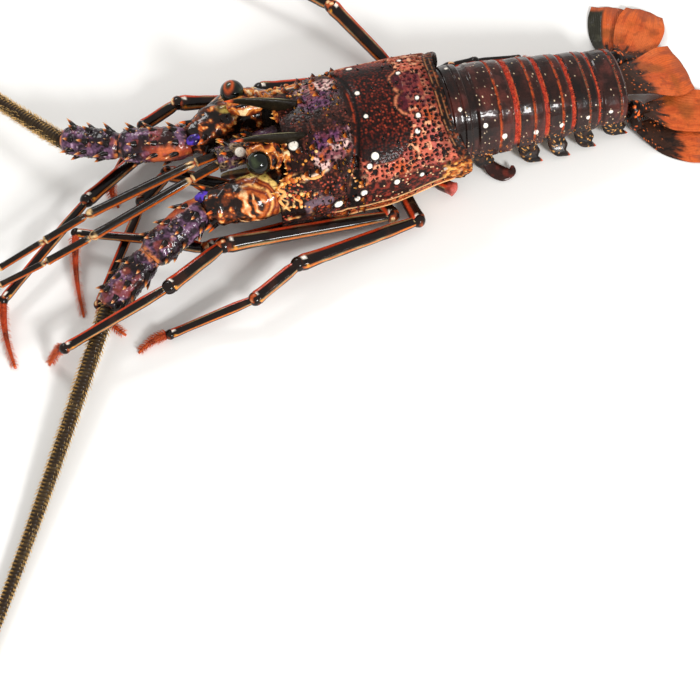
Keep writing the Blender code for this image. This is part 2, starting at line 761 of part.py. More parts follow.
def blade_row(root, along, outward, share, length, widths, rest, face):
    """One row of points across a blade's upper or under face. Every second one lies on a raised ray."""
    height, settle = rest
    thickness = mix(2.4, 1.0, smooth(share * 2.4))
    height = mix(root.z, height, smooth(share * settle))
    row = []
    for j in range(BLADE_COLUMNS + 1):
        middle = 1 - abs(2 * j / BLADE_COLUMNS - 1)
        reach = length * share + BLADE_BOW * share ** 4 * smooth(middle)
        point = root + along * reach + outward * mix(-widths[0], widths[1], j / BLADE_COLUMNS)
        edge = mix(0.6, 1.0, smooth(middle * 3))
        ray = RAY_HEIGHT * (j % 2) * smooth(share * 4)
        point.z = height + thickness * edge * face / 2 + (ray if face > 0 else 0)
        row.append(point)
    return row


def blade(root, heading, length, half_widths, rest, square=False):
    """A fan blade: it leaves its root along heading in degrees and settles to its resting height. A
    square one begins with its edge straight across the tail."""
    turn = math.radians(heading)
    along = vec(math.cos(turn), math.sin(turn), 0)
    outward = vec(-along.y, along.x, 0) * (1 if heading > 0 else -1)
    straight = vec(0, math.copysign(1, outward.y), 0)
    steps = len(half_widths) - 1
    mesh = bmesh.new()
    sheets = []
    for face in (1, -1):
        rows = []
        for i, widths in enumerate(half_widths):
            share = i / steps
            across = mix(straight, outward, smooth(share * 3)) if square else outward
            row = blade_row(root, along, across, share, length, widths, rest, face)
            rows.append([mesh.verts.new(on_floor(p)) for p in row])
        for a, b in zip(rows, rows[1:]):
            for j in range(BLADE_COLUMNS):
                mesh.faces.new((a[j], a[j + 1], b[j + 1]))
                mesh.faces.new((a[j], b[j + 1], b[j]))
        left = [row[0] for row in rows]
        right = [row[-1] for row in rows]
        sheets.append(rows[0] + right[1:] + rows[-1][-2::-1] + left[-2:0:-1])
    rim, low = sheets
    for k in range(len(rim)):
        n = (k + 1) % len(rim)
        mesh.faces.new((rim[k], rim[n], low[n], low[k]))
    bmesh.ops.recalc_face_normals(mesh, faces=mesh.faces)
    bmesh.ops.triangulate(mesh, faces=mesh.faces)
    return mesh


# The blades lie over one another: the telson on top, then the inner pair, then the outer pair.
FAN = {"right": (1, 55.0, 67.0), "left": (-1, 10.0, 25.0)}
TELSON_HEADING = 9.0
TELSON_LENGTH = 47.0
INNER_LENGTH = 48.0
OUTER_LENGTH = 43.0
# Each rests at a height, and settles to it sooner the larger the second number.
TELSON_REST = (6.0, 1.1)
INNER_REST = (2.9, 2.2)
OUTER_REST = (0.5, 2.4)


def make_fan(base_paint, paint):
    end = TAIL_JOINTS[-1] + GAP
    telson = blade(vec(end, 0, 19), TELSON_HEADING, TELSON_LENGTH, TELSON_BLADE, TELSON_REST, square=True)
    put("telson", telson, paint)
    for word, (side, inner, outer) in FAN.items():
        root = vec(end, side * 18, 15)
        path = [root, root + vec(3.5, side * 0.5, -1), root + vec(6.5, side * 1.5, -2.5)]
        block = tube(path, [4.6, 5.0, 4.2], 8, 0.9, vec(1, 0, 0), vec(0.9, side * 0.2, -0.4))
        put("uropod_base_" + word, block, base_paint)
        inner_root = root + vec(9.2, side * 1.0, -3.4)
        outer_root = root + vec(5.5, side * 7.5, -9.5)
        inner_blade = blade(inner_root, side * inner, INNER_LENGTH, INNER_BLADE, INNER_REST)
        outer_blade = blade(outer_root, side * outer, OUTER_LENGTH, OUTER_BLADE, OUTER_REST)
        put("uropod_inner_" + word, inner_blade, paint)
        put("uropod_outer_" + word, outer_blade, paint)


def main():
    clear_scene()
    shell = material("shell", (0.13, 0.06, 0.05), 0.3)
    purple = material("purple_shell", (0.24, 0.13, 0.24), 0.35)
    orange = material("orange_base", (0.62, 0.32, 0.10), 0.4)
    leg = material("leg_shell", (0.07, 0.035, 0.03), 0.2)
    eye = material("eye", (0.02, 0.025, 0.02), 0.06)
    whip = material("whip", (0.22, 0.17, 0.11), 0.45)
    small = material("small_feeler", (0.10, 0.08, 0.07), 0.3)
    fan = material("fan", (0.62, 0.19, 0.05), 0.35)
    belly = material("belly", (0.45, 0.33, 0.20), 0.45)
    make_carapace(shell)
    make_breastplate(belly)
    make_head_front(purple)
    make_mouth(belly)
    make_eyes(orange, eye)
    make_antennae(orange, purple, whip)
    make_antennules(small)
    make_legs(leg)
    make_tail(shell)
    make_fan(shell, fan)


main()
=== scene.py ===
"""Looks of the spiny lobster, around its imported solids.

Lengths are millimetres until a mesh is made. The head points to -X, the back is +Z and the
animal's left side is -Y. Colours are painted on the points of each mesh from where they lie on
the animal, and the materials add grain, wet gloss and fine relief to them.
"""

import itertools
import math
import random

import bpy
import numpy as np
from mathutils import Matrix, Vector


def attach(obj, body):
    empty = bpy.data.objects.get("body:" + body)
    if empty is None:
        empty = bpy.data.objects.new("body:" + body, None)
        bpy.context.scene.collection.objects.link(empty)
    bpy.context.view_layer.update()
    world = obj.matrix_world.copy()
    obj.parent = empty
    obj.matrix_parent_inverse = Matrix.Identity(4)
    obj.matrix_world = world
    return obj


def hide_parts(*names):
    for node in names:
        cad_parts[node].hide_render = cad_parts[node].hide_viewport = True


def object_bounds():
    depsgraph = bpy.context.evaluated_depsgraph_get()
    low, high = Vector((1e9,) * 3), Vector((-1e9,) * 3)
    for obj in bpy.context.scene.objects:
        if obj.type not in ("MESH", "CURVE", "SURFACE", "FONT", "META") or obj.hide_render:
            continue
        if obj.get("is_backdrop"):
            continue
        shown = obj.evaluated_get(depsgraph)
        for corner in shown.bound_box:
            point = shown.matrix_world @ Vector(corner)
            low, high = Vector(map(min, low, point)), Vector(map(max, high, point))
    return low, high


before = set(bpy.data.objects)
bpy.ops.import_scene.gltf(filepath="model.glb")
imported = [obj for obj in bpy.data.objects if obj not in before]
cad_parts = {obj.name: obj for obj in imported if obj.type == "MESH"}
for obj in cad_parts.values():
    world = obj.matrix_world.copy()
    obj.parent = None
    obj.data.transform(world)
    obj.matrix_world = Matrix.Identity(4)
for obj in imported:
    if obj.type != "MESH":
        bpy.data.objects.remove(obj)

CAD_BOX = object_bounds()
MM = 0.001
SEED = 11
GAP = 0.3
UP = np.array((0.0, 0.0, 1.0))

# Body sizes, as in the solids
CARAPACE_FRONT = -48.0
CARAPACE_REAR = 46.5
CARAPACE_WING = 10.5
CARAPACE_HALF_WIDTH = 43.0
CARAPACE_LEAN = 4.0
CARAPACE_BACK = 59.0
CARAPACE_WAIST = 21.0
CARAPACE_FLOOR = 12.5
CARAPACE_LIP = 10.6
CERVICAL_GROOVE = -6.0
COLLAR_GROOVE = 0.947
LIP_ANGLE = 30
HORN_LENGTH = 38.0
EYE_RADIUS = 6.5
THORN_RADIUS = 1.8
BREAST_REAR_HALF = 22.0
BREAST_FRONT_HALF = 12.0
BREAST_REAR = 44.0
TAIL_JOINTS = (47.5, 60.0, 86.0, 105.0, 122.0, 139.0, 161.0)
TAIL_HALF_WIDTH = (29.0, 24.0)
TAIL_BACK = (52.0, 33.0)
TAIL_BELLY = 13.0
ANTENNA_RADIUS = 9.6
WHIP_RADIUS = 4.6
WHIP_LENGTH = 390.0


# Small mathematics


def row(*numbers):
    return np.array(numbers, float)


def smooth(t):
    t = np.clip(t, 0.0, 1.0)
    return t * t * (3 - 2 * t)


def mix(a, b, t):
    return a + (b - a) * t


def rise_between(value, low, high):
    """0 below low, 1 above high and smooth between them. low may be the larger one."""
    return smooth((value - low) / (high - low))


def bell(value, centre, width):
    return np.exp(-(((value - centre) / width) ** 2))


def unit(v):
    return v / np.maximum(np.linalg.norm(v, axis=-1, keepdims=True), 1e-9)


def bulge(value, power):
    return np.sign(value) * np.abs(value) ** power


def dots(a, b):
    return (a * b).sum(-1)


def lattice(cell, seed):
    """A steady random number from 0 to 1 for each whole-number place on a plane or in space."""
    h = seed * 974634777
    for k in range(cell.shape[-1]):
        h = h + cell[..., k] * (374761393, 668265263, 1440662683)[k]
    h = ((h ^ (h >> 13)) * 1274126177) & 0xFFFFFFFF
    h = ((h ^ (h >> 15)) * 2246822519) & 0xFFFFFFFF
    return (h ^ (h >> 16)) / 4294967296.0


def noise(points, size, seed=0):
    """Smooth noise from -1 to 1 with lumps about size wide."""
    q = points / size
    cell = np.floor(q).astype(np.int64)
    part = smooth(q - cell)
    total = 0.0
    for corner in itertools.product((0, 1), repeat=q.shape[-1]):
        corner = np.array(corner)
        weight = np.where(corner, part, 1 - part).prod(-1)
        total = total + weight * lattice(cell + corner, seed)
    return total * 2 - 1


def rough(points, size, seed=0, octaves=3):
    """Noise with finer noise on it."""
    total, weight = 0.0, 0.0
    for k in range(octaves):
        total = total + noise(points, size / 2 ** k, seed + k) * 0.55 ** k
        weight += 0.55 ** k
    return total / weight


def cells(points, size, seed=0, scatter=0.85):
    """Distance to the nearest and second nearest of scattered centres, and the nearest one's number."""
    q = points / size
    base = np.floor(q).astype(np.int64)
    first = np.full(q.shape[:-1], 9.0)
    second = first.copy()
    number = np.zeros_like(first)
    for offset in itertools.product((-1, 0, 1), repeat=q.shape[-1]):
        cell = base + np.array(offset)
        centre = np.stack([lattice(cell, seed + k) for k in range(1, 1 + q.shape[-1])], -1)
        far = np.linalg.norm(q - cell - 0.5 - scatter * (centre - 0.5), axis=-1)
        nearer = far < first
        second = np.where(nearer, first, np.minimum(second, far))
        number = np.where(nearer, lattice(cell, seed + 7), number)
        first = np.where(nearer, far, first)
    return first, second, number


def curve(points, count, closed=False):
    """count places on a smooth curve through the points."""
    points = np.asarray(points, float)
    total = len(points) if closed else len(points) - 1
    t = np.linspace(0, total, count, endpoint=not closed)
    i = np.minimum(t.astype(int), total - 1)
    f = (t - i)[:, None]
    if closed:
        a, b, c, d = (points[(i + k) % len(points)] for k in (-1, 0, 1, 2))
    else:
        padded = np.vstack([2 * points[0] - points[1], points, 2 * points[-1] - points[-2]])
        a, b, c, d = (padded[i + k] for k in range(4))
    return 0.5 * (2 * b + (c - a) * f + (2 * a - 5 * b + 4 * c - d) * f ** 2 + (3 * b - a - 3 * c + d) * f ** 3)


# Colours


def tone(red, green, blue, wet=1.0):
    """A colour from screen values, with how wet and glossy the surface is there."""
    made = [(v / 255 / 12.92) if v < 11 else ((v / 255 + 0.055) / 1.055) ** 2.4 for v in (red, green, blue)]
    return row(*made, wet)


BLACK = tone(20, 13, 11)
DARK = tone(38, 24, 19)
UMBER = tone(66, 38, 26)
MAROON = tone(74, 24, 24)
WINE = tone(122, 40, 42)
ROSE = tone(214, 104, 96)
SALMON = tone(232, 132, 104)
RED = tone(206, 52, 30)
ORANGE = tone(232, 98, 30)
AMBER = tone(240, 158, 54)
CREAM = tone(246, 214, 152)
WHITE = tone(255, 246, 232)
PURPLE = tone(112, 66, 112)
MAUVE = tone(158, 108, 148)
VIOLET = tone(84, 52, 205)
OLIVE = tone(78, 66, 40)
KHAKI = tone(150, 124, 70)
GREY = tone(70, 64, 54)
SETA_RED = tone(196, 50, 26, 0.15)
SETA_GOLD = tone(226, 170, 80, 0.15)


def lay(paint, colour, mask):
    """The paint with a colour laid over it where the mask is 1."""
    mask = np.clip(mask, 0.0, 1.0)[..., None]
    return paint + (colour - paint) * mask


def coat(like, colour):
    """One colour over a whole grid of points."""
    return np.broadcast_to(colour, like.shape[:-1] + (4,)).copy()


# Meshes


class Shape:
    """The points, faces and paint of one piece."""

    def __init__(self):
        self.points, self.paint, self.faces, self.places = [], [], [], []
        self.count = 0

    def add(self, points, paint, *faces, places=None):
        points = np.asarray(points, float).reshape(-1, 3)
        paint = np.asarray(paint, float)
        self.points.append(points)
        self.paint.append(np.broadcast_to(paint, (len(points), 4)) if paint.ndim == 1 else paint.reshape(-1, 4))
        self.faces += [np.asarray(face) + self.count for face in faces]
        self.places.append(np.zeros((len(points), 2)) if places is None else places)
        self.count += len(points)

    def make(self, name, material, slot, replaces=(), patches=False):
        points = np.vstack(self.points)
        points[:, 2] = np.maximum(points[:, 2], 0.0)
        corners = np.concatenate([face.ravel() for face in self.faces])
        sizes = np.concatenate([np.full(len(face), face.shape[1]) for face in self.faces])
        mesh = bpy.data.meshes.new(name)
        mesh.vertices.add(len(points))
        mesh.vertices.foreach_set("co", (points * MM).ravel())
        mesh.loops.add(len(corners))
        mesh.loops.foreach_set("vertex_index", corners.astype(np.int32))
        mesh.polygons.add(len(sizes))
        mesh.polygons.foreach_set("loop_start", (np.cumsum(sizes) - sizes).astype(np.int32))
        attribute = mesh.color_attributes.new("paint", "FLOAT_COLOR", "POINT")
        attribute.data.foreach_set("color", np.vstack(self.paint).astype(np.float32).ravel())
        if patches:
            layer = mesh.uv_layers.new(name="OFBake")
            layer.data.foreach_set("uv", np.vstack(self.places)[corners].astype(np.float32).ravel())
        mesh.update(calc_edges=True)
        mesh.validate()
        mesh.shade_smooth()
        mesh.materials.append(material)
        piece = bpy.data.objects.new(name, mesh)
        bpy.context.scene.collection.objects.link(piece)
        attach(piece, "root")
        if replaces:
            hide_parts(*replaces)
        return piece


def grid_faces(rows, columns, around=False, flip=False):
    """Quads between the points of a grid, closed round its columns if asked."""
    i = np.arange(rows - 1)[:, None]
    j = np.arange(columns if around else columns - 1)[None, :]
    a = i * columns + j
    b = i * columns + (j + 1) % columns
    quads = np.stack([a, b, b + columns, a + columns], -1).reshape(-1, 4)
    return quads[:, ::-1] if flip else quads


def inside_out(points, faces):
    """Whether a closed mesh has its faces turned in."""
    points = points.reshape(-1, 3) - points.reshape(-1, 3).mean(0)
    total = 0.0
    for face in faces:
        a, b, c = (points[face[:, k]] for k in (0, 1, 2))
        total += dots(a, np.cross(b, c)).sum()
        if face.shape[1] == 4:
            total += dots(a, np.cross(c, points[face[:, 3]])).sum()
    return total < 0


def add_tube(shape, points, paint):
    """Adds a grid of rings as a closed tube, with a centre point on each end."""
    rows, sides = points.shape[:2]
    faces = [grid_faces(rows, sides, around=True)]
    flat = points.reshape(-1, 3)
    colours = paint.reshape(-1, 4)
    ends = []
    for ring, centre in ((0, rows * sides), ((rows - 1) * sides, rows * sides + 1)):
        k = np.arange(sides)
        fan = np.stack([ring + k, ring + (k + 1) % sides, np.full(sides, centre)], -1)
        ends.append(fan[:, ::-1] if ring == 0 else fan)
        flat = np.vstack([flat, points[ring // sides].mean(0)])
        colours = np.vstack([colours, paint[ring // sides].mean(0)])
    faces += ends
    if inside_out(flat, faces):
        faces = [face[:, ::-1] for face in faces]
    shape.add(flat, colours, *faces)


def turned_frames(tangents):
    """For each tangent of a path, two directions across it that turn as little as possible."""
    across = np.cross(tangents[0], UP)
    if np.linalg.norm(across) < 0.05:
        across = row(0, 1, 0)
    sideways, upward = [], []
    for tangent in tangents:
        across = unit(across - tangent * dots(across, tangent))
        sideways.append(across)
        upward.append(np.cross(across, tangent))
    return np.array(sideways), np.array(upward)


class Sweep:
    """Rings along a path: their points, outward directions, angle round and share of the length."""

    def __init__(self, path, radii, sides, flat=1.0, start_aim=None, end_aim=None):
        path = np.asarray(path, float)
        tangents = unit(np.gradient(path, axis=0))
        if start_aim is not None:
            tangents[0] = unit(start_aim)
        if end_aim is not None:
            tangents[-1] = unit(end_aim)
        self.path, self.tangents = path, tangents
        self.across, self.up = turned_frames(tangents)
        steps = np.linalg.norm(np.diff(path, axis=0), axis=1)
        self.length = np.concatenate([[0], np.cumsum(steps)])
        radii = np.broadcast_to(np.asarray(radii, float), len(path))
        turn = 2 * math.pi * np.arange(sides) / sides
        self.angle = np.broadcast_to(turn, (len(path), sides))
        self.share = np.broadcast_to((self.length / self.length[-1])[:, None], (len(path), sides))
        self.along = np.broadcast_to(self.length[:, None], (len(path), sides))
        cos, sin = np.cos(turn)[None, :, None], np.sin(turn)[None, :, None]
        self.out = unit(self.across[:, None] * cos * flat + self.up[:, None] * sin)
        spread = self.across[:, None] * cos + self.up[:, None] * sin * flat
        self.points = path[:, None] + spread * radii[:, None, None]
        self.radii = radii


def facing_angle(angle, degrees):
    """How far an angle is from a direction, in degrees, either way round."""
    away = np.degrees(angle) - degrees
    return np.abs((away + 180) % 360 - 180)


def thorn(shape, foot, aim, length, radius, bend=(0, 0, 0), colours=None, sides=9):
    """A curved thorn: its foot, its length, and its colours from foot to tip."""
    foot, aim, bend = np.asarray(foot, float), unit(np.asarray(aim, float)), np.asarray(bend, float)
    t = np.linspace(0, 1, 9)
    path = foot + aim * (length * (t * 1.12 - 0.12))[:, None] + bend * (t ** 2)[:, None]
    radii = radius * (1.12 * (1 - t) ** 0.8 + 0.02 + 0.16 * bell(t, 0.0, 0.14))
    sweep = Sweep(path, radii, sides)
    colours = colours or (DARK, BLACK, BLACK, ORANGE, AMBER)
    stops = np.linspace(0, 1, len(colours))
    ramp = np.stack([np.interp(t, stops, [c[k] for c in colours]) for k in range(4)], -1)
    add_tube(shape, sweep.points, np.repeat(ramp[:, None], sides, 1))


def bristles(shape, roots, aims, lengths, radius, colour, tip_colour, places, bend):
    """Many thin three-sided hairs. Each is one small patch of the map at its root's place."""
    count = len(roots)
    aims = unit(aims)
    side = unit(np.cross(aims, UP + row(0.013, 0.007, 0)))
    other = np.cross(aims, side)
    lengths = np.broadcast_to(lengths, count)[:, None]
    rings = []
    for share, size in ((-0.08, 1.0), (0.55, 0.7)):
        centre = roots + aims * lengths * share + bend * lengths * max(share, 0) ** 2
        for k in range(3):
            turn = 2 * math.pi * k / 3
            rings.append(centre + (side * math.cos(turn) + other * math.sin(turn)) * radius * size)
    tip = roots + aims * lengths + bend * lengths
    points = np.stack(rings + [tip], 1)
    start = (np.arange(count) * 7)[:, None]
    quads = [start + row(*f).astype(int) for f in ((0, 1, 4, 3), (1, 2, 5, 4), (2, 0, 3, 5))]
    triangles = [start + row(*f).astype(int) for f in ((3, 4, 6), (4, 5, 6), (5, 3, 6), (2, 1, 0))]
    paint = np.empty((count, 7, 4))
    paint[:, :3] = colour
    paint[:, 3:6] = mix(colour, tip_colour, 0.5)
    paint[:, 6] = tip_colour
    patch = np.array([(0, 0), (1, 0), (0.5, 1), (0, 0.5), (1, 0.5), (0.5, 0.8), (0.5, 0.4)]) * 0.003
    spots = np.clip(places, 0.002, 0.995)[:, None] + patch[None]
    faces = [np.vstack(quads), np.vstack(triangles)]
    shape.add(points, paint.reshape(-1, 4), *faces, places=spots.reshape(-1, 2))


# Materials


def node(tree, kind, place, **values):
    made = tree.nodes.new(kind)
    made.location = place
    for name, value in values.items():
        setattr(made, name, value)
    return made


def shell_material(name, dry=0.55, wet=0.16, coat_weight=0.5, relief=0.25, grain=900.0, tint=0.25, specular=0.3):
    """Painted shell: the paint darkened and lightened by grain, wet where the paint says, finely rough."""
    made = bpy.data.materials.new(name)
    made.use_nodes = True
    tree = made.node_tree
    shader = tree.nodes["Principled BSDF"]
    paint = node(tree, "ShaderNodeAttribute", (-900, 200), attribute_name="paint")
    place = node(tree, "ShaderNodeTexCoord", (-1300, 0))
    fine = node(tree, "ShaderNodeTexNoise", (-1100, -60))
    fine.inputs["Scale"].default_value = grain
    fine.inputs["Detail"].default_value = 4.0
    broad = node(tree, "ShaderNodeTexNoise", (-1100, -320))
    broad.inputs["Scale"].default_value = grain / 7
    broad.inputs["Detail"].default_value = 3.0
    for texture in (fine, broad):
        tree.links.new(place.outputs["Object"], texture.inputs["Vector"])
    shade = node(tree, "ShaderNodeMapRange", (-860, -60))
    shade.inputs["From Min"].default_value = 0.3
    shade.inputs["From Max"].default_value = 0.7
    shade.inputs["To Min"].default_value = 1 - tint
    shade.inputs["To Max"].default_value = 1 + tint
    tree.links.new(fine.outputs["Fac"], shade.inputs["Value"])
    colour = node(tree, "ShaderNodeVectorMath", (-620, 160), operation="SCALE")
    tree.links.new(paint.outputs["Color"], colour.inputs["Vector"])
    tree.links.new(shade.outputs["Result"], colour.inputs["Scale"])
    tree.links.new(colour.outputs["Vector"], shader.inputs["Base Color"])
    gloss = node(tree, "ShaderNodeMapRange", (-620, -120))
    gloss.inputs["To Min"].default_value = dry
    gloss.inputs["To Max"].default_value = wet
    tree.links.new(paint.outputs["Alpha"], gloss.inputs["Value"])
    uneven = node(tree, "ShaderNodeMath", (-400, -160), operation="MULTIPLY_ADD")
    uneven.inputs[1].default_value = 0.14
    tree.links.new(broad.outputs["Fac"], uneven.inputs[0])
    tree.links.new(gloss.outputs["Result"], uneven.inputs[2])
    tree.links.new(uneven.outputs["Value"], shader.inputs["Roughness"])
    bump = node(tree, "ShaderNodeBump", (-400, -380))
    bump.inputs["Strength"].default_value = relief
    bump.inputs["Distance"].default_value = 0.0004
    tree.links.new(fine.outputs["Fac"], bump.inputs["Height"])
    tree.links.new(bump.outputs["Normal"], shader.inputs["Normal"])
    shader.inputs["Coat Weight"].default_value = coat_weight
    shader.inputs["Coat Roughness"].default_value = 0.05
    shader.inputs["Specular IOR Level"].default_value = specular
    return made


# Carapace

LIP_RISE = math.sin(math.radians(LIP_ANGLE)) ** 0.9
# How far the cheeks reach forward beside the feelers' bases
CHEEK_REACH = 10.0


def carapace_surface(along, angle):
    """Points of the plain shell, as the solid has it. angle runs from the left edge over the back."""
    turn = np.radians(angle)
    across, lift = np.cos(turn), np.sin(turn)
    side = np.abs(across)
    x = mix(CARAPACE_FRONT, CARAPACE_REAR + CARAPACE_WING * side ** 4, along)
    width = CARAPACE_HALF_WIDTH * (0.94 + 0.06 * smooth(along / 0.3) - 0.1 * smooth((along - 0.45) / 0.55))
    centre = -CARAPACE_LEAN * (1 - smooth(x / CARAPACE_REAR))
    back = CARAPACE_BACK - 9.5 * (1 - smooth(along / 0.5)) - 4.0 * smooth((along - 0.72) / 0.28)
    dip = 1.1 * bell(x, groove_line(side), 2.2) * smooth((lift + 0.3) / 0.5)
    dip = dip + 0.6 * bell(along, COLLAR_GROOVE, 0.012)
    lip = mix(CARAPACE_LIP, CARAPACE_FLOOR, smooth((along - 0.28) / 0.2))
    height = np.where(lift > 0, back - CARAPACE_WAIST - dip, (CARAPACE_WAIST - lip) / LIP_RISE)
    reach = np.where(lift > 0, bulge(across, 0.9), np.sign(across) * (1 - 0.16 * lift * lift))
    y = centre - reach * (width - dip)
    return np.stack([x, y, CARAPACE_WAIST + bulge(lift, 0.9) * height], -1)


def groove_line(side):
    """Where the cervical groove runs, at a share of the way out to the side."""
    return CERVICAL_GROOVE - 14.0 * side ** 2


def surface_normals(points):
    """Normals of a grid of points whose rows run back along the animal."""
    return unit(np.cross(np.gradient(points, axis=1), np.gradient(points, axis=0)))


def carapace_normal(along, angle):
    along, angle = np.float64(along), np.float64(angle)
    one = carapace_surface(along + 0.01, angle) - carapace_surface(along - 0.01, angle)
    other = carapace_surface(along, angle + 1) - carapace_surface(along, angle - 1)
    return -unit(np.cross(one, other))


# White spots of the carapace: place along the animal, distance out from the middle of the back, and size
LARGE_SPOTS = (
    (-2, 7, 1.5), (-1, -9, 1.3), (-1, -32, 2.3), (-5, -36.5, 1.6), (9.5, -51, 1.8), (25, -52, 1.4),
    (40, -53.5, 1.3), (50, -57, 1.3), (-25, -54, 2.6), (-10, -52, 2.0), (-14, -55, 1.7), (24, 13.5, 1.4),
    (30, -6, 1.2), (28, -16.5, 1.5), (25.5, -25, 1.5), (-43.5, -11.8, 3.0), (-1, 32, 2.0), (9.5, 51, 1.7),
    (25, 52, 1.4), (40, 53.5, 1.3), (-25, 54, 2.2), (-10, 52, 1.8), (-43.5, 18, 2.6), (28, 26, 1.4),
)


def carapace_fields(rows, columns):
    """The shell's grid, with the measures that its relief and colours are worked out from."""
    share = np.linspace(0, 1, rows)
    degrees = np.linspace(-LIP_ANGLE, 180 + LIP_ANGLE, columns)
    along, angle = np.meshgrid(share, degrees, indexing="ij")
    points = carapace_surface(along, angle)
    steps = np.linalg.norm(np.diff(points, axis=1), axis=2)
    arc = np.concatenate([np.zeros((rows, 1)), np.cumsum(steps, 1)], 1)
    middle = np.array([np.interp(90, degrees, line) for line in arc])[:, None]
    out = arc - middle
    cheek = rise_between(np.abs(out), 25.0, 36.0) * smooth(1 - along / 0.2)
    points[..., 0] -= CHEEK_REACH * cheek
    x = points[..., 0]
    return {
        "points": points, "along": along, "angle": angle, "normals": -surface_normals(points),
        "flat": np.stack([x, out], -1), "out": out, "edge": np.minimum(arc, arc[:, -1:] - arc), "x": x,
    }


def net_zone(f):
    """The pitted net behind and beside the dark middle of the shell."""
    out, x = np.abs(f["out"]), f["x"]
    wobble = 1.2 * noise(f["flat"], 5.0, 3)
    middle = (np.abs(x - 5.0 + wobble) / 18.5) ** 2.8 + (out / 37.5) ** 2.8
    behind = rise_between(middle, 0.94, 1.06) * rise_between(x, -11.0, -7.0)
    below = rise_between(out + wobble, 49.0, 45.5)
    return behind * below * rise_between(f["along"], COLLAR_GROOVE - 0.006, COLLAR_GROOVE - 0.018)


def make_carapace(material):
    rows, columns = 250, 400
    f = carapace_fields(rows, columns)
    points, flat, x, out, edge = f["points"], f["flat"], f["x"], f["out"], f["edge"]
    side = np.abs(out)
    groove = x - groove_line(np.abs(np.cos(np.radians(f["angle"]))))
    head = rise_between(groove, 0.5, -1.5)
    collar = rise_between(f["along"], COLLAR_GROOVE - 0.012, COLLAR_GROOVE)
    net = net_zone(f) * (1 - head)
    band = rise_between(edge, 10.6, 9.8)
    flank = rise_between(side, 45.0, 49.0) * (1 - head) * (1 - collar) * (1 - band)
    blotch = rough(flat, 14.0, 21)
    grain = rough(flat, 2.2, 31)
    near, _, granule_number = cells(flat, 1.45, 41)
    granule = smooth(1.2 - near * 1.7)
    pit = pits(flat)

    height = 0.11 * granule * (1 - net) * (1 - collar) * (1 - band)
    height = height + net * (0.4 - 1.0 * pit) + 0.06 * grain * (1 - collar)
    height = height + 0.6 * band * (bell(edge, 9.9, 0.7) + bell(edge, 1.0, 0.9))

    paint = coat(points, tone(34, 15, 13))
    paint = lay(paint, tone(98, 30, 20), granule * (granule_number > 0.25) * rise_between(grain, -0.6, 0.2))
    paint = lay(paint, tone(156, 62, 40), granule ** 2 * (granule_number > 0.8) * rise_between(blotch, -0.3, 0.4))
    paint = lay(paint, BLACK, rise_between(near, 0.46, 0.62))
    paint = lay(paint, tone(24, 13, 11), rise_between(blotch, 0.1, -0.4) * 0.6)
    # Painted light: on the right (+Y) side only, the granules are lightened to orange-red
    far_side = rise_between(side, 22.0, 34.0) * rise_between(out, 4.0, 14.0)
    paint = lay(paint, tone(180, 52, 28), far_side * granule * rise_between(grain, -0.5, 0.2) * 0.7)
    paint = mix(paint, net_paint(flat, pit, blotch, grain), net[..., None])
    lobe = np.hypot(x - 27.0, side - 7.5) + 1.6 * noise(flat, 4.0, 5)
    rim = bell(lobe, 9.0, 0.9) * rise_between(x, 33.0, 25.0) * rise_between(grain, -0.5, 0.1) * (1 - head)
    paint = lay(paint, tone(214, 130, 92), rim * 0.8)
    paint = lay(paint, tone(84, 30, 42), rise_between(lobe, 8.2, 7.0) * rise_between(grain, -0.5, 0.2) * 0.7)

    paint, height = paint_head(f, paint, height, head, granule, grain, near)
    speck_near, _, speck_number = cells(flat, 2.4, 81)
    speck = rise_between(speck_near, 0.24, 0.15) * (speck_number > 0.8) * flank
    paint = lay(paint, tone(34, 17, 14), flank * 0.6)
    paint = lay(paint, tone(140, 50, 36), flank * rise_between(grain, 0.0, 0.35) * 0.7)
    paint = lay(paint, tone(236, 196, 150), speck)
    paint, height = cheek_loop(flat, paint, height, 1 - head)
    trench = bell(groove, -1.2, 0.5) * rise_between(side, 40.0, 32.0) * rise_between(blotch + grain, -0.5, 0.2)
    paint = lay(paint, tone(160, 56, 28), trench * 0.9)
    gap = bell(groove, 1.0 + 0.1 * np.maximum(side - 30, 0), 0.9 + 0.12 * np.maximum(side - 28, 0))
    # Painted shade: the cervical groove is blackened where the shell is sunk along it
    paint = lay(paint, BLACK, np.minimum(gap * 1.4, 1.0) * rise_between(side, 66.0, 60.0))
    height = height - 0.7 * gap * rise_between(side, 20.0, 30.0)
    paint, height = white_spots(flat, LARGE_SPOTS, paint, height)

    line = rough(flat, 1.2, 91)
    lip = lay(coat(points, tone(150, 66, 30)), tone(70, 30, 18), rise_between(line, 0.0, 0.35))
    lip = lay(lip, tone(226, 120, 70), rise_between(line, -0.15, -0.4) * 0.8)
    lip = lay(lip, tone(244, 190, 130), np.maximum(bell(edge, 9.9, 0.75), bell(edge, 1.2, 1.1)))
    lip = lay(lip, BLACK, bell(edge, 8.4, 0.5) * 0.7)
    paint = mix(paint, lip, (band * rise_between(x, -30.0, -24.0))[..., None])
    paint = lay(paint, tone(24, 16, 13), collar)
    # Noise that breaks up the painted highlight lines laid along the collar below
    highlight_breaks = rise_between(grain + blotch, -0.3, 0.2)
    patchy = collar * rise_between(rough(points, 1.8, 92), 0.1, 0.4)
    paint = lay(paint, tone(142, 66, 36), patchy * 0.6)
    height = height + collar * (0.35 * grain + 0.3 * patchy)
    # Pale painted highlight lines along the crest behind the collar groove and along the rear rim
    for place, strength in ((COLLAR_GROOVE + 0.004, 0.7), (0.98, 0.4)):
        paint = lay(paint, tone(196, 132, 84), bell(f["along"], place, 0.0035) * highlight_breaks * strength)
    paint[..., 3] = mix(paint[..., 3], 0.55, rise_between(f["along"], 0.2, 0.3))
    paint, height = rear_corner(f, paint, height)
    points = points + f["normals"] * height[..., None]
    close_carapace(points, paint, material)
    cheek_knobs(flat, points, f["normals"], material)


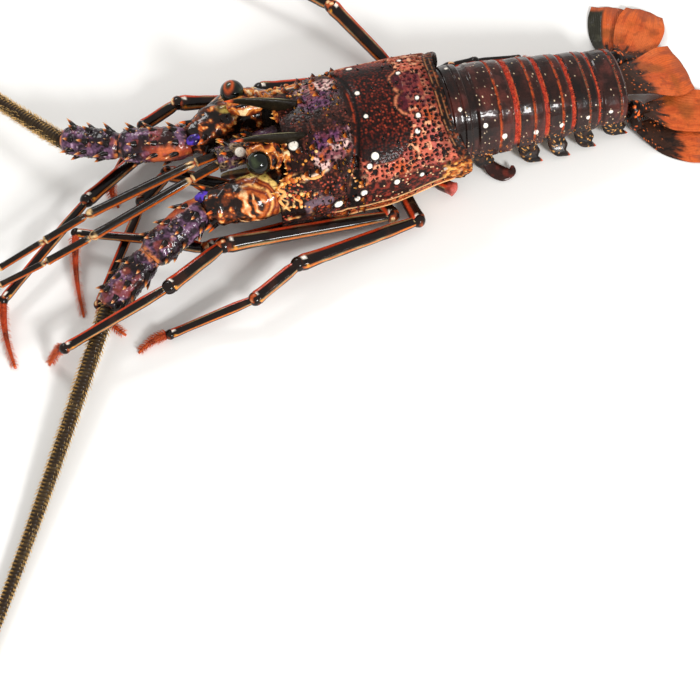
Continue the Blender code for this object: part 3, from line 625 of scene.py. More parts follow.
# Low knobs on each cheek: where a row starts and ends, how many there are and how large
CHEEK_ROWS = (
    ((-56, 31), (-41, 31.5), 12, 1.25), ((-55, 34), (-45, 34), 6, 0.9), ((-54, 38), (-36, 43), 12, 1.2),
    ((-52, 46), (-42, 49), 6, 1.0), ((-40, 24), (-32, 20), 5, 1.0), ((-17, 36), (-12, 46), 5, 1.0),
)
# Smooth ridges on each cheek
CHEEK_RIDGES = (
    ((-57, 27), (-54.5, 31), (-57, 34), (-54, 37), (-57.5, 40), (-56, 44), (-53, 49)),
    ((-40.7, 31.4), (-37, 33), (-33, 33), (-29.5, 30.8)), ((-50, 41), (-46, 44), (-47, 48)),
)


def cheek_knobs(flat, points, normals, material):
    """Cream and orange knobs and ridges that stand out on the cheeks."""
    draw = random.Random(SEED + 5)
    shape = Shape()
    for start, end in ((105, 190), (294, 209)):
        brow = points[0, start:end:(1 if end > start else -1)] + row(-0.5, 0, -0.9)
        thick = 0.5 + 1.4 * np.sin(np.linspace(0, math.pi, len(brow))) ** 0.5
        add_folded(shape, Sweep(brow, thick, 18), 3.2)
        for k in range(6, len(brow) - 6, 9):
            aim = (-1.4, draw.uniform(-0.3, 0.3), 0.6)
            thorn(shape, brow[k], aim, draw.uniform(2.2, 4.2), 1.1, (-0.5, 0, 0.2), (DARK, tone(150, 70, 40), AMBER, CREAM))
    places = flat.reshape(-1, 2)
    points, normals = points.reshape(-1, 3), normals.reshape(-1, 3)

    def on_shell(x, away):
        i = ((places - row(x, away)) ** 2).sum(-1).argmin()
        return points[i], normals[i]

    for side in (-1, 1):
        for start, end, count, size in CHEEK_ROWS:
            for k in range(count):
                x, away = mix(row(*start), row(*end), k / (count - 1)) + row(draw.uniform(-1, 1), draw.uniform(-1, 1))
                foot, out = on_shell(x, side * away)
                radius = size * draw.uniform(0.6, 1.15)
                t = np.linspace(0.05, math.pi - 0.05, 10)
                path = foot + (out + row(-0.5, 0, 0)) * (-np.cos(t) * radius)[:, None]
                tint = draw.choice((tone(226, 150, 70), tone(246, 200, 130), tone(196, 96, 40), tone(240, 176, 120)))
                sweep = Sweep(path, np.sin(t) * radius, 10)
                add_tube(shape, sweep.points, lay(coat(sweep.points, tint), DARK, rise_between(sweep.share, 0.5, 0.1)))
        for knots in CHEEK_RIDGES:
            path = curve([on_shell(x, side * away)[0] for x, away in knots], 60)
            thick = 0.25 + 0.85 * np.sin(np.linspace(0.1, math.pi - 0.1, 60)) ** 0.5
            sweep = Sweep(path, thick, 10)
            wave = noise(sweep.points, 2.0, 108)
            paint = lay(coat(sweep.points, tone(236, 170, 100)), tone(200, 100, 44), rise_between(wave, 0.0, 0.5))
            add_tube(shape, sweep.points + sweep.out * (0.3 * wave)[..., None], paint)
    shape.make("cheek_knobs", material, "carapace")


def pits(flat):
    """How deep the shell's net is pitted: many round pits, some tiny ones and a few large."""
    deep = np.zeros(flat.shape[:-1])
    for size, radius, seed, least in ((3.1, 0.4, 51, 0.0), (1.5, 0.28, 52, 0.55), (9.0, 0.22, 61, 0.25)):
        near, _, number = cells(flat, size, seed, 0.6)
        wide = radius * mix(0.6, 1.15, lattice((number * 1e6).astype(np.int64)[..., None], seed))
        deep = np.maximum(deep, rise_between(near, wide, wide * 0.75) * (number > least))
    return deep


def net_paint(flat, pit, blotch, grain):
    """Paint of the net: salmon and orange between dark round pits."""
    paint = lay(coat(flat, tone(194, 98, 76)), tone(190, 88, 40), rise_between(blotch + 0.5 * grain, -0.1, 0.5))
    paint = lay(paint, tone(160, 78, 74), rise_between(noise(flat, 9.0, 71), 0.0, 0.5) * 0.7)
    paint = lay(paint, tone(238, 170, 128), rise_between(noise(flat, 2.4, 73) + 0.3 * grain, 0.2, 0.55) * 0.9)
    paint = lay(paint, tone(110, 40, 34), rise_between(grain + 0.4 * blotch, 0.15, 0.45) * 0.6)
    side = np.abs(flat[..., 1])
    behind = rise_between(flat[..., 0] + 4 * blotch, 34.0, 40.0) * rise_between(side, 44.0, 36.0)
    paint = lay(paint, tone(120, 58, 34), behind * 0.6)
    upper = rise_between(side + 5 * blotch, 16.0, 8.0)
    paint = lay(paint, tone(110, 34, 32), upper * 0.6)
    paint = lay(paint, tone(84, 24, 22), rise_between(pit, 0.05, 0.35))
    return lay(paint, tone(22, 12, 11), rise_between(pit, 0.3, 0.7))


def white_spots(flat, spots, paint, height):
    """Raised white spots, each with a dark ring about it."""
    for at, away, size in spots:
        gap = np.hypot(flat[..., 0] - at, flat[..., 1] - away)
        spot = rise_between(gap, size, size * 0.82)
        paint = lay(paint, BLACK, rise_between(gap, size * 1.9, size * 1.3) * 0.85)
        paint = lay(paint, WHITE, spot)
        height = height * (1 - spot) + 0.5 * spot
    return paint, height


def cheek_loop(flat, paint, height, behind):
    """A pale ridge in the shape of a C behind the groove, low on each side."""
    x, side = flat[..., 0], np.abs(flat[..., 1])
    away = np.hypot((x + 11.0) / 1.25, side - 41.5)
    loop = bell(away, 5.6, 0.75) * rise_between(x - 0.6 * (side - 41.5), -9.0, -12.0) * behind
    inside = rise_between(away, 5.4, 4.6) * behind * rise_between(x, -5.0, -9.0)
    paint = lay(paint, tone(150, 112, 88), inside * rise_between(noise(flat, 2.0, 83), -0.3, 0.2) * 0.9)
    paint = lay(paint, tone(226, 140, 78), loop)
    return paint, height + 0.5 * loop


def rear_corner(f, paint, height):
    """Mottled orange lumps where the shell's rear margin meets its lower edge."""
    side = np.abs(f["out"])
    away = np.hypot((f["x"] - 48.5) * 0.9, (side - 57.0) * 0.8) + 2.5 * noise(f["flat"], 3.0, 96)
    corner = rise_between(away, 10.0, 6.5)
    lump = noise(f["flat"], 2.2, 95) + 0.5 * noise(f["flat"], 1.0, 97)
    spots = lay(coat(f["flat"], tone(176, 92, 32)), tone(226, 170, 90), rise_between(lump, 0.1, 0.5))
    spots = lay(spots, tone(60, 26, 14), rise_between(lump, -0.1, -0.4))
    return mix(paint, spots, (corner * 0.9)[..., None]), height + 0.5 * corner * lump


def paint_head(f, paint, height, head, granule, grain, near):
    """The head's part of the shell: a purple patch, pale warty sides and ridged cheeks."""
    flat, x, side = f["flat"], f["x"], np.abs(f["out"])
    plain = lay(coat(flat, tone(34, 19, 16)), tone(104, 50, 38), granule * rise_between(grain, -0.2, 0.4))
    reach = bell(x, -24.0, 15.0) * bell(side, 19.0, 15.0) * 1.6 + 0.45 * rough(flat, 6.0, 107)
    region = rise_between(reach, 0.75, 1.1) * rise_between(x, -8.0, -12.0)
    pale = rise_between(side + 0.35 * (x + 22.0) + 4 * grain, 15.0, 21.0)
    purple = lay(coat(flat, tone(88, 46, 80)), tone(142, 90, 122), granule * rise_between(grain, -0.2, 0.4))
    purple = lay(purple, tone(158, 100, 106), pale)
    purple = lay(purple, tone(240, 200, 190), pale * rise_between(noise(flat, 2.2, 73) + 0.3 * grain, -0.2, 0.2))
    purple = lay(purple, tone(112, 50, 56), rise_between(noise(flat, 4.0, 103), 0.1, 0.4) * 0.7)
    purple = lay(purple, tone(198, 96, 44), rise_between(noise(flat, 5.0, 105), 0.4, 0.6) * pale)
    purple = lay(purple, tone(30, 15, 24), rise_between(near, 0.5, 0.66) * 0.8)
    holes = rise_between(cells(flat, 3.2, 104)[0], 0.34, 0.24)
    purple = lay(purple, tone(26, 13, 18), holes * rise_between(grain, 0.6, 0.0))
    plain = mix(plain, purple, region[..., None])
    fold = noise(flat, 7.5, 101) + 0.35 * noise(flat, 3.0, 102)
    cheek = rise_between(side, 27.0, 29.0) * rise_between(side, 60.0, 55.0) * rise_between(x, -38.0, -44.0)
    ridge = bell(fold, 0.05, 0.1) * cheek * rise_between(noise(flat, 4.0, 109), -0.35, 0.0)
    knob_near, _, _ = cells(flat, 2.3, 106)
    first = bell(side, 31.0, 1.8) * rise_between(x, -37.0, -40.0)
    second = bell(side - 0.3 * (x + 40), 42.0, 1.8) * rise_between(x, -33.0, -36.0)
    knobs = rise_between(knob_near, 0.36, 0.2) * np.minimum(first + second, 1.0)
    plain = lay(plain, tone(24, 15, 13), cheek * 0.9)
    plain = lay(plain, tone(214, 120, 50), ridge)
    plain = lay(plain, tone(246, 206, 140), ridge * rise_between(grain, -0.4, 0.1))
    plain = lay(plain, tone(246, 190, 124), knobs)
    dot_near, _, dot_number = cells(flat, 2.0, 111)
    dot = rise_between(dot_near, 0.32, 0.22) * (dot_number > 0.45) * rise_between(side, 30.0, 36.0) * (1 - ridge)
    plain = lay(plain, tone(186, 78, 56), dot * rise_between(noise(flat, 8.0, 112), -0.2, 0.2))
    lilac = rise_between(noise(flat, 6.0, 113), 0.15, 0.45) * bell(side, 50.0, 6.0) * rise_between(x, -47, -43)
    plain = lay(plain, tone(120, 100, 112), lilac * 0.8)
    streak = bell(side - 31.0 + 0.12 * (x + 30.0), 0.0, 0.8)
    streak = streak * rise_between(x, -42.0, -40.0) * rise_between(x, -26.0, -29.0)
    plain = lay(plain, tone(250, 218, 190), streak)
    height = height + head * (0.8 * ridge + 0.5 * knobs + 0.2 * dot + 0.5 * streak - 0.35 * region * holes)
    return mix(paint, plain, head[..., None]), height


def close_carapace(points, paint, material):
    """Closes the shell with a rolled rim behind, a flat front and a floor between its edges."""
    front = mix(points[0].mean(0), points[0], 0.97) + row(0.4, 0, 0)
    points = np.concatenate([front[None], points])
    paint = np.concatenate([coat(front[None], BLACK), paint])
    columns = points.shape[1]
    rim = points[-1]
    inner = np.stack([rim[:, 0] - 0.2, rim[:, 1] * 0.95, mix(CARAPACE_FLOOR, rim[:, 2], 0.95)], -1)
    recess = inner.copy()
    recess[:, 0] = CARAPACE_REAR - GAP
    points = np.concatenate([points, inner[None], recess[None]])
    # Painted shade: the rim's inner lip is painted dark and the recess under it black
    paint = np.concatenate([paint, lay(paint[-1:], DARK, np.ones((1, columns))), coat(recess[None], BLACK)])
    share = np.linspace(0.06, 0.94, 9)[None, :, None]
    floor = mix(points[:, -1:], points[:, :1], share)
    floor[..., 2] = CARAPACE_FLOOR - 0.2
    floor[:, :, 0] = np.clip(points[:, :1, 0], CARAPACE_FRONT, CARAPACE_REAR - 1.0)
    rings = np.concatenate([points, floor], 1)
    colours = np.concatenate([paint, coat(floor, KHAKI)], 1)
    shape = Shape()
    add_tube(shape, rings, colours)
    shape.make("carapace_shell", material, "carapace", ["carapace"])


def carapace_thorns(material):
    """The rows of thorns, large on the head and short behind the groove, then scattered small ones."""
    draw = random.Random(SEED)
    shape = Shape()
    large = (BLACK, tone(120, 50, 22), tone(232, 130, 44), tone(244, 180, 80), CREAM)
    for angle in (70, 48, 27, 8, -12):
        for along, length in ((0.09, 7.0), (0.175, 6.2), (0.28, 5.2), (0.38, 4.2)):
            for mirrored in (angle, 180 - angle):
                place = along + draw.uniform(-0.012, 0.012)
                foot = carapace_surface(np.float64(place), np.float64(mirrored))
                out = carapace_normal(place, mirrored) + row(-1.5, 0, 0.1)
                size = length * draw.uniform(0.85, 1.1)
                thorn(shape, foot, out, size, 2.1, (-1.2, 0, 0.2), large)
    for angle in (78, 56, 34, 12, -8):
        for along in (0.56, 0.66, 0.76, 0.86):
            for mirrored in (angle, 180 - angle):
                place = along + draw.uniform(-0.03, 0.03)
                turned = mirrored + draw.uniform(-5, 5)
                foot = carapace_surface(np.float64(place), np.float64(turned))
                out = carapace_normal(place, turned) + row(-0.7, 0, 0)
                thorn(shape, foot, out, draw.uniform(1.8, 2.8), 1.0, (-0.4, 0, 0.1), (BLACK, BLACK, WINE, CREAM))
    for _ in range(320):
        place, turned = draw.uniform(0.03, 0.4), draw.uniform(-16, 196)
        foot = carapace_surface(np.float64(place), np.float64(turned))
        out = carapace_normal(place, turned) + row(-1.4, 0, 0)
        tips = draw.choice(((BLACK, DARK, ORANGE), (DARK, ROSE, CREAM), (BLACK, AMBER, CREAM)))
        thorn(shape, foot, out, draw.uniform(1.2, 2.9), draw.uniform(0.6, 1.0), (-0.4, 0, 0), tips, 6)
    shape.make("carapace_thorns", material, "carapace")


def make_horns(material):
    """The two frontal horns: deep blades, dark olive with a pale keel and an orange tip."""
    for side, word in ((-1, "left"), (1, "right")):
        t = np.linspace(0, 1, 60)
        rise = 7.0 * np.sin(t * math.pi * 0.6)
        middle = side * (11 + 2.5 * t)
        path = np.stack([-38 - HORN_LENGTH * t, middle, 46 + rise + 9.0 * t], -1)
        radii = np.interp(t, (0, 0.22, 0.45, 0.7, 0.88, 1.0), (6.2, 5.4, 4.0, 2.7, 1.5, 0.15))
        sweep = Sweep(path, radii, 36)
        points = sweep.points
        points[..., 1] = middle[:, None] + (points[..., 1] - middle[:, None]) * 0.42
        ripple = rough(points, 2.0, 120)
        points = points + sweep.out * (0.15 * ripple)[..., None]
        paint = lay(coat(points, tone(30, 25, 16, 0.8)), BLACK, rise_between(ripple, -0.1, 0.6) * 0.8)
        keel = rise_between(facing_angle(sweep.angle, 80), 12, 4)
        paint = lay(paint, tone(176, 168, 130), keel * 0.8 * rise_between(sweep.share, 0.1, 0.3))
        paint = lay(paint, tone(226, 96, 50), rise_between(sweep.share, 0.86, 0.94))
        shape = Shape()
        add_tube(shape, points, paint)
        shape.make("horn_" + word, material, "carapace")


# Head front, mouth and eyes


def make_head_front(material):
    path = curve([(-48.3, 0, 33), (-60, -1, 34), (-74, -3, 34), (-86, -5, 33.5)], 90)
    radii = np.interp(path[:, 0], (-86, -74, -60, -48.3), (6.2, 6.6, 7.0, 8.5))
    sweep = Sweep(path, radii, 72, 1.25, (-1, 0, 0), (-1, 0, 0))
    near, far, _ = cells(sweep.points, 2.6, 131)
    ridge = rise_between(far - near, 0.3, 0.05)
    bump = rough(sweep.points, 2.0, 132)
    points = sweep.points + sweep.out * (0.5 * ridge + 0.25 * bump)[..., None]
    paint = lay(coat(points, tone(70, 52, 58)), BLACK, rise_between(bump, -0.3, 0.2))
    paint = lay(paint, tone(190, 156, 120), ridge * rise_between(bump, -0.2, 0.4) * 0.7)
    paint = lay(paint, PURPLE, rise_between(noise(points, 5.0, 133), 0.1, 0.6) * 0.7)
    shape = Shape()
    add_tube(shape, points, paint)
    for x, spread, length in ((-66, 3.2, 5.0), (-79, 3.6, 6.5)):
        for side in (-1, 1):
            centre = -2.0 - (-x - 66) * 0.16
            thorn(shape, (x, centre + side * spread, 41), (-0.8, side * 0.2, 1), length, 1.6, (-1.5, 0, 0))
    draw = random.Random(SEED + 9)
    for _ in range(26):
        x, turn = draw.uniform(-84, -56), math.radians(draw.uniform(20, 160))
        foot = (x, -2.5 + 8.6 * math.cos(turn), 34 + 6.6 * math.sin(turn))
        out = (-1.6, math.cos(turn), math.sin(turn))
        thorn(shape, foot, out, draw.uniform(2.0, 4.0), 0.9, (-0.6, 0, 0), (DARK, tone(150, 70, 40), AMBER, CREAM), 7)
    lump = Sweep(row(-73, -8.3, 42.3) + UP * np.linspace(-2.6, 2.6, 16)[:, None], 3.1 * np.sin(np.linspace(0.1, 3.0, 16)), 18)
    add_tube(shape, lump.points, coat(lump.points, WHITE))
    shape.make("head_front_plate", material, "purple_shell", ["head_front"])


def make_jaw_feet(material):
    for side, word in ((-1, "left"), (1, "right")):
        knots = [
            (-48.3, side * 6.5, 7.5), (-53, side * 7, 10), (-58, side * 7.5, 14),
            (-68, side * 7.2, 17), (-80, side * 6.2, 17.5), (-86, side * 5.2, 16),
        ]
        path = curve(knots, 70)
        radii = np.interp(np.linspace(0, 1, 70), (0, 0.2, 0.4, 0.6, 0.8, 0.95, 1), (3.6, 3.6, 3.2, 3.0, 2.4, 1.8, 0.8))
        sweep = Sweep(path, radii, 20)
        paint = lay(coat(sweep.points, UMBER), ORANGE, rise_between(noise(sweep.points, 5, 141), 0.0, 0.6))
        paint = lay(paint, CREAM, rise_between(facing_angle(sweep.angle, 90), 40, 10) * 0.6)
        shape = Shape()
        add_tube(shape, sweep.points, paint)
        shape.make("jaw_foot_shell_" + word, material, "belly", ["jaw_foot_" + word])


def eye_centre(side):
    return row(-67.2 - side * 2.3, 2.3 + side * 25.0, 49.7)


def make_eyes(stalk_material, eye_material):
    for side, word in ((-1, "left"), (1, "right")):
        centre = eye_centre(side)
        root = row(CARAPACE_FRONT - GAP, centre[1] - side * 6.0, 42)
        aim = unit(centre - root)
        line = mix(root, centre - aim * EYE_RADIUS * 0.6, np.linspace(0, 1, 60)[:, None])
        share = np.linspace(0, 1, 60)
        sweep = Sweep(line, 3.4 + 1.6 * bell(share, 0.72, 0.16) + 1.2 * bell(share, 0.25, 0.14), 48)
        shape = Shape()
        add_folded(shape, sweep, 4.0)
        lobe = centre + row(5.0, -side * 9.5, -2.0)
        t = np.linspace(0.04, math.pi - 0.04, 70)
        path = lobe + row(-0.97, side * 0.2, 0.1) * (np.cos(t) * 10.5)[:, None]
        add_folded(shape, Sweep(path, np.sin(t) ** 0.8 * 6.4, 60, 0.8, row(-1, 0, 0), row(-1, 0, 0)), 5.5)
        rim_middle = centre + row(1.5, -side * 3.5, -1.0)
        turn = np.radians(np.linspace(-50, 125, 90))
        path = rim_middle + row(1, 0, 0) * (np.cos(turn) * 11.5)[:, None]
        path = path + row(0, -side * 0.9, 0.35) * (np.sin(turn) * 10.5)[:, None]
        thick = 0.5 + 1.3 * np.sin(np.linspace(0, math.pi, 90)) ** 0.6
        add_folded(shape, Sweep(path, thick, 20), 3.0)
        shape.make("eyestalk_shell_" + word, stalk_material, "eyestalk", ["eyestalk_" + word])
        ball = Shape()
        # Only the right eye carries the painted orange reflection
        add_ball(ball, centre, EYE_RADIUS + 0.4, aim, 0.9 if side > 0 else 0.0)
        ball.make("eye_ball_" + word, eye_material, "eye", ["eye_" + word])


def add_folded(shape, sweep, size):
    """A tube of the orbit's skin: orange-brown folds with cream crests and black hollows."""
    fold = noise(sweep.points, size, 151) + 0.4 * noise(sweep.points, size / 2.5, 152)
    paint = lay(coat(sweep.points, tone(176, 84, 34)), tone(112, 44, 20), rise_between(fold, 0.15, -0.1))
    paint = lay(paint, BLACK, rise_between(fold, -0.2, -0.38))
    paint = lay(paint, tone(232, 150, 66), bell(fold, 0.22, 0.09))
    paint = lay(paint, tone(246, 214, 160), rise_between(fold, 0.42, 0.6))
    add_tube(shape, sweep.points + sweep.out * (0.7 * fold)[..., None], paint)


def add_ball(shape, centre, radius, aim, glow):
    """A dark glassy ball, with an orange reflection painted on its upper side as strongly as glow says."""
    t = np.linspace(0.02, math.pi - 0.35, 40)
    path = centre + aim * (np.cos(t) * radius)[:, None]
    sweep = Sweep(path, np.sin(t) * radius, 56, 1.0, -aim, -aim)
    paint = lay(coat(sweep.points, tone(9, 12, 8)), tone(52, 60, 38), rise_between(noise(sweep.points, 4, 171), 0, 0.8))
    lit = facing_angle(sweep.angle, 90) / 60
    ring = bell(np.hypot(lit, (t[:, None] - 1.0) / 0.5), 0.7, 0.25) * (1 - bell(lit, -0.6, 0.2))
    # Painted reflection: an orange ring on the upper side of the ball
    paint = lay(paint, tone(186, 76, 28), ring * glow)
    add_tube(shape, sweep.points, paint)


# Antennae


def peduncle_path(side):
    """Centre line of an antenna's peduncle: root, bulge, and the three joints after it."""
    if side < 0:
        return [row(-44, -25, 28), row(-70, -31, 28), row(-101, -32, 30), row(-135, -53, 27), row(-164, -71, 14)]
    return [row(-44, 25, 28), row(-70, 27, 30), row(-100, 12, 31), row(-139, 19, 32), row(-170, 32, 31)]


def joint_normal(path, i):
    return unit(unit(path[i + 1] - path[i]) + unit(path[i] - path[i - 1]))


def make_antenna_base(side, word, path, material):
    """The swollen base: a boss ringed by cream, orange and dark red bands, with a crown of thorns."""
    root = row(CARAPACE_FRONT - GAP, path[0][1], path[0][2])
    knots = [root, mix(root, path[1], 0.5), path[1], mix(path[1], path[2], 0.55), path[2]]
    line = curve(knots, 130)
    radii = curve([(r, 0) for r in (11.5, 13.5, 13.2, 11.5, 9.4)], 130)[:, 0]
    radii = radii * (1 - 0.25 * rise_between(np.arange(130), 124, 129.0))
    sweep = Sweep(line, radii, 130, 0.95, (-1, 0, 0), joint_normal(path, 2))
    points = sweep.points
    arm = points - row(-75.0, side * 42.0, 40.0)
    away = np.hypot(dots(arm, row(0.97, side * 0.24, 0)), dots(arm, row(0.22, -side * 0.89, 0.39)))
    away = away + 1.4 * noise(points, 7.0, 181) + 0.5 * noise(points, 2.6, 182)
    skin = rough(points, 3.4, 183)
    crumbs = rough(points, 1.5, 184)
    points = points + sweep.out * (0.9 * bell(away, 18.0, 2.4) + 0.45 * skin + 0.12 * crumbs)[..., None]
    paint = lay(coat(points, tone(26, 16, 12)), tone(96, 44, 22), rise_between(skin, -0.1, 0.25))
    paint = lay(paint, tone(210, 98, 34), rise_between(skin + 0.5 * crumbs, 0.22, 0.42))
    paint = lay(paint, tone(240, 186, 110), rise_between(skin + 0.6 * crumbs, 0.42, 0.6))
    rearward = dots(arm, row(0.97, side * 0.24, 0)) + 0.4 * dots(arm, row(0.22, -side * 0.89, 0.39)) + 4 * skin
    ringed = rise_between(away, 20.6, 19.4) * rise_between(away, 7.0, 9.0) * rise_between(rearward, -4.0, 3.0)
    rings = lay(coat(points, tone(188, 92, 36)), tone(236, 196, 112), rise_between(away, 15.6, 16.6))
    rings = lay(rings, tone(176, 160, 70), rise_between(away, 16.0, 18.0) * rise_between(side * points[..., 1], 32.0, 26.0) * 0.7)
    rings = lay(rings, tone(238, 178, 104), bell(away, 11.9, 0.7))
    for line in (10.2, 13.6, 15.4):
        rings = lay(rings, tone(104, 30, 16), bell(away, line, 0.55))
    rings = lay(rings, tone(90, 36, 18), rise_between(crumbs + 0.6 * skin, 0.1, 0.4) * 0.7)
    folds = dots(arm, row(0.6, side * 0.5, 0.6)) * 1.5 + 0.4 * away
    folds = np.sin(folds + 2.4 * noise(points, 5.0, 185) + 0.9 * noise(points, 2.2, 186))
    boss = rise_between(away, 11.0, 9.5)
    paint = lay(paint, tone(30, 15, 10), boss * 0.8)
    paint = lay(paint, tone(204, 104, 42), rise_between(folds, 0.0, 0.4) * boss)
    crest = rise_between(folds, 0.55, 0.85) * rise_between(noise(points, 3.0, 187), -0.55, 0.0)
    paint = lay(paint, tone(246, 206, 150), crest * boss)
    paint = mix(paint, rings, (ringed * rise_between(sweep.out[..., 2], -0.25, 0.0))[..., None])
    paint = lay(paint, BLACK, bell(away, 21.5, 1.0) * 0.9)
    # Painted shade: the underside of the base, where it faces down, is darkened
    paint = lay(paint, DARK, rise_between(dots(sweep.out, UP), -0.3, -0.8) * 0.8)
    shape = Shape()
    add_tube(shape, points, paint)
    axis = unit(path[2] - path[1])
    across = unit(np.cross(axis, UP))
    up = unit(np.cross(across, axis))
    for turn, share, length in ((-35, 0.78, 7.0), (5, 0.82, 8.5), (45, 0.8, 6.0)):
        for angle in (math.radians(turn), math.radians(180 - turn)):
            out = across * math.cos(angle) + up * math.sin(angle)
            foot = mix(path[1], path[2], share) + out * 9.3
            thorn(shape, foot, out + axis * 1.1, length, THORN_RADIUS, axis * 1.2)
    pad = path[2] - axis * 2.0 + up * 6.5 - across * side * 3.5
    add_pad(shape, pad, axis)
    shape.make("antenna_base_shell_" + word, material, "antenna_base", ["antenna_base_" + word])


def add_pad(shape, centre, aim):
    """A smooth violet-blue swelling at the end of the base."""
    t = np.linspace(0.03, math.pi - 0.03, 30)
    path = centre + aim * (np.cos(t) * 5.2)[:, None]
    sweep = Sweep(path, np.sin(t) * 3.4, 32, 0.8, -aim, -aim)
    wave = rough(sweep.points, 3.0, 191)
    paint = lay(coat(sweep.points, tone(82, 54, 176)), tone(34, 20, 70), rise_between(wave, -0.1, 0.3))
    paint = lay(paint, tone(150, 110, 190), rise_between(wave, -0.2, -0.5) * 0.6)
    add_tube(shape, sweep.points + sweep.out * (0.7 * wave)[..., None], paint)


def make_antenna_segment(part, side, word, path, draw, material):
    """A spiny peduncle segment: purple and wrinkled above, orange-red on its inner side."""
    start_normal = joint_normal(path, part)
    last = (path[4] - path[3]) if part == 3 else joint_normal(path, 3)
    start, end = path[part] + start_normal * GAP, path[part + 1]
    radius = ANTENNA_RADIUS if part == 2 else ANTENNA_RADIUS * 0.86
    t = np.linspace(0, 1, 110)
    line = mix(start, end, t[:, None])
    swell = curve([(s, v) for s, v in zip((0, 0.12, 0.35, 0.65, 0.88, 1), (0.82, 1.0, 1.06, 1.04, 1.0, 0.74))], 110)
    radii = radius * np.interp(t, swell[:, 0], swell[:, 1])
    sweep = Sweep(line, radii, 90, 0.92, start_normal, last)
    points = sweep.points
    wrinkle = rough(points, 3.0, 201 + part, 4)
    near, far, _ = cells(points, 2.1, 211 + part)
    granule = smooth(1.2 - near * 1.7)
    low, high = (0.4, 0.75) if side > 0 else (0.1, 0.4)
    inner = rise_between(dots(sweep.out, sweep.across[:, None]) * -side + 0.3 * wrinkle, low, high) * (part == 2)
    inner = inner * rise_between(sweep.share + 0.15 * wrinkle, 0.72, 0.5)
    points = points + sweep.out * ((0.3 * granule + 0.55 * wrinkle) * (1 - 0.8 * inner))[..., None]
    paint = lay(coat(points, tone(34, 21, 30)), tone(98, 66, 92), rise_between(wrinkle, -0.25, 0.2))
    paint = lay(paint, tone(156, 118, 148), granule * rise_between(wrinkle, 0.0, 0.4) * 0.8)
    # Painted highlights: pinkish-white glints on the tops of the granules
    paint = lay(paint, tone(206, 176, 196), granule ** 3 * rise_between(noise(points, 4.0, 221), 0.2, 0.6) * 0.7)
    paint = lay(paint, tone(140, 60, 44), rise_between(noise(points, 6.5, 222), 0.25, 0.5) * 0.6)
    paint = lay(paint, BLACK, rise_between(noise(points, 5.0, 223) + 0.4 * wrinkle, 0.05, 0.25) * 0.9)
    glow = lay(coat(points, tone(146, 58, 36)), tone(204, 100, 56), rise_between(noise(points, 6.0, 224), -0.2, 0.4))
    glow = lay(glow, tone(116, 54, 76), rise_between(noise(points, 5.0, 225), 0.15, 0.5) * 0.8)
    paint = mix(paint, glow, inner[..., None])
    spot_near, _, spot_number = cells(points, 3.4, 226)
    spot = rise_between(spot_near, 0.24, 0.14) * (spot_number > 0.75)
    paint = lay(paint, tone(214, 160, 130), spot)
    # Painted shade: the segment's underside, where it faces down, is blackened
    under = rise_between(dots(sweep.out, UP), -0.1, -0.5)
    paint = lay(paint, BLACK, under * 0.75)
    rims = np.maximum(rise_between(sweep.share, 0.06, 0.0), rise_between(sweep.share, 0.94, 1.0))
    paint = lay(paint, tone(206, 120, 60), rims * rise_between(wrinkle, -0.2, 0.2))
    shape = Shape()
    add_tube(shape, points, paint)
    segment_thorns(shape, start, end, radius, draw)
    name = f"antenna_segment{part}_"
    shape.make(f"antenna_segment{part}_shell_{word}", material, "purple_shell", [name + word])


def segment_thorns(shape, start, end, radius, draw):
    """Thorns in five rows, with a scatter of small ones between them."""
    axis = unit(end - start)
    across = unit(np.cross(axis, UP))
    up = unit(np.cross(across, axis))
    for turn, count, length in ((20, 3, 6.5), (62, 3, 4.2), (118, 3, 4.2), (160, 3, 6.5), (205, 2, 4.5)):
        angle = math.radians(turn)
        out = across * math.cos(angle) + up * math.sin(angle)
        for k in range(count):
            share = (k + 0.65 + draw.uniform(-0.12, 0.12)) / (count + 0.3)
            foot = mix(start, end, share) + out * radius * 0.9
            tint = (BLACK, BLACK, BLACK, BLACK, tone(206, 106, 40), CREAM)
            thorn(shape, foot, out + axis * 0.9, length * draw.uniform(0.85, 1.15), 1.9, axis * 1.2, tint)
    scatter = random.Random(SEED + 7)
    for _ in range(46):
        angle = math.radians(scatter.uniform(-10, 230))
        out = across * math.cos(angle) + up * math.sin(angle)
        foot = mix(start, end, scatter.uniform(0.08, 0.92)) + out * radius * 0.95
        size = scatter.uniform(0.9, 2.0)
        thorn(shape, foot, out + axis * 0.9, size, size * 0.4, axis * 0.4, (DARK, BLACK, tone(110, 56, 40), CREAM), 6)


# Where each antenna's whip points, how far it turns on the way and how soon it has come down
WHIPS = {-1: (row(-0.462, -0.887, 0), -2.0, 0.42), 1: (row(-0.66, 0.75, 0), 10.0, 0.85)}


def whip_radius(share):
    return mix(WHIP_RADIUS, 0.55, share ** 1.1)


def whip_line(side, start, share):
    """Points of an antenna's whip, from its start to its tip on the ground."""
    heading, bend, down = WHIPS[side]
    turn = math.radians(bend) * share * -side
    x = start[0] + (heading[0] * np.cos(turn) - heading[1] * np.sin(turn)) * WHIP_LENGTH * share
    y = start[1] + (heading[1] * np.cos(turn) + heading[0] * np.sin(turn)) * WHIP_LENGTH * share
    z = mix(start[2], whip_radius(share) + 1.0, smooth((share / down + 0.25) / 1.25))
    return np.stack([x, y, z], -1)


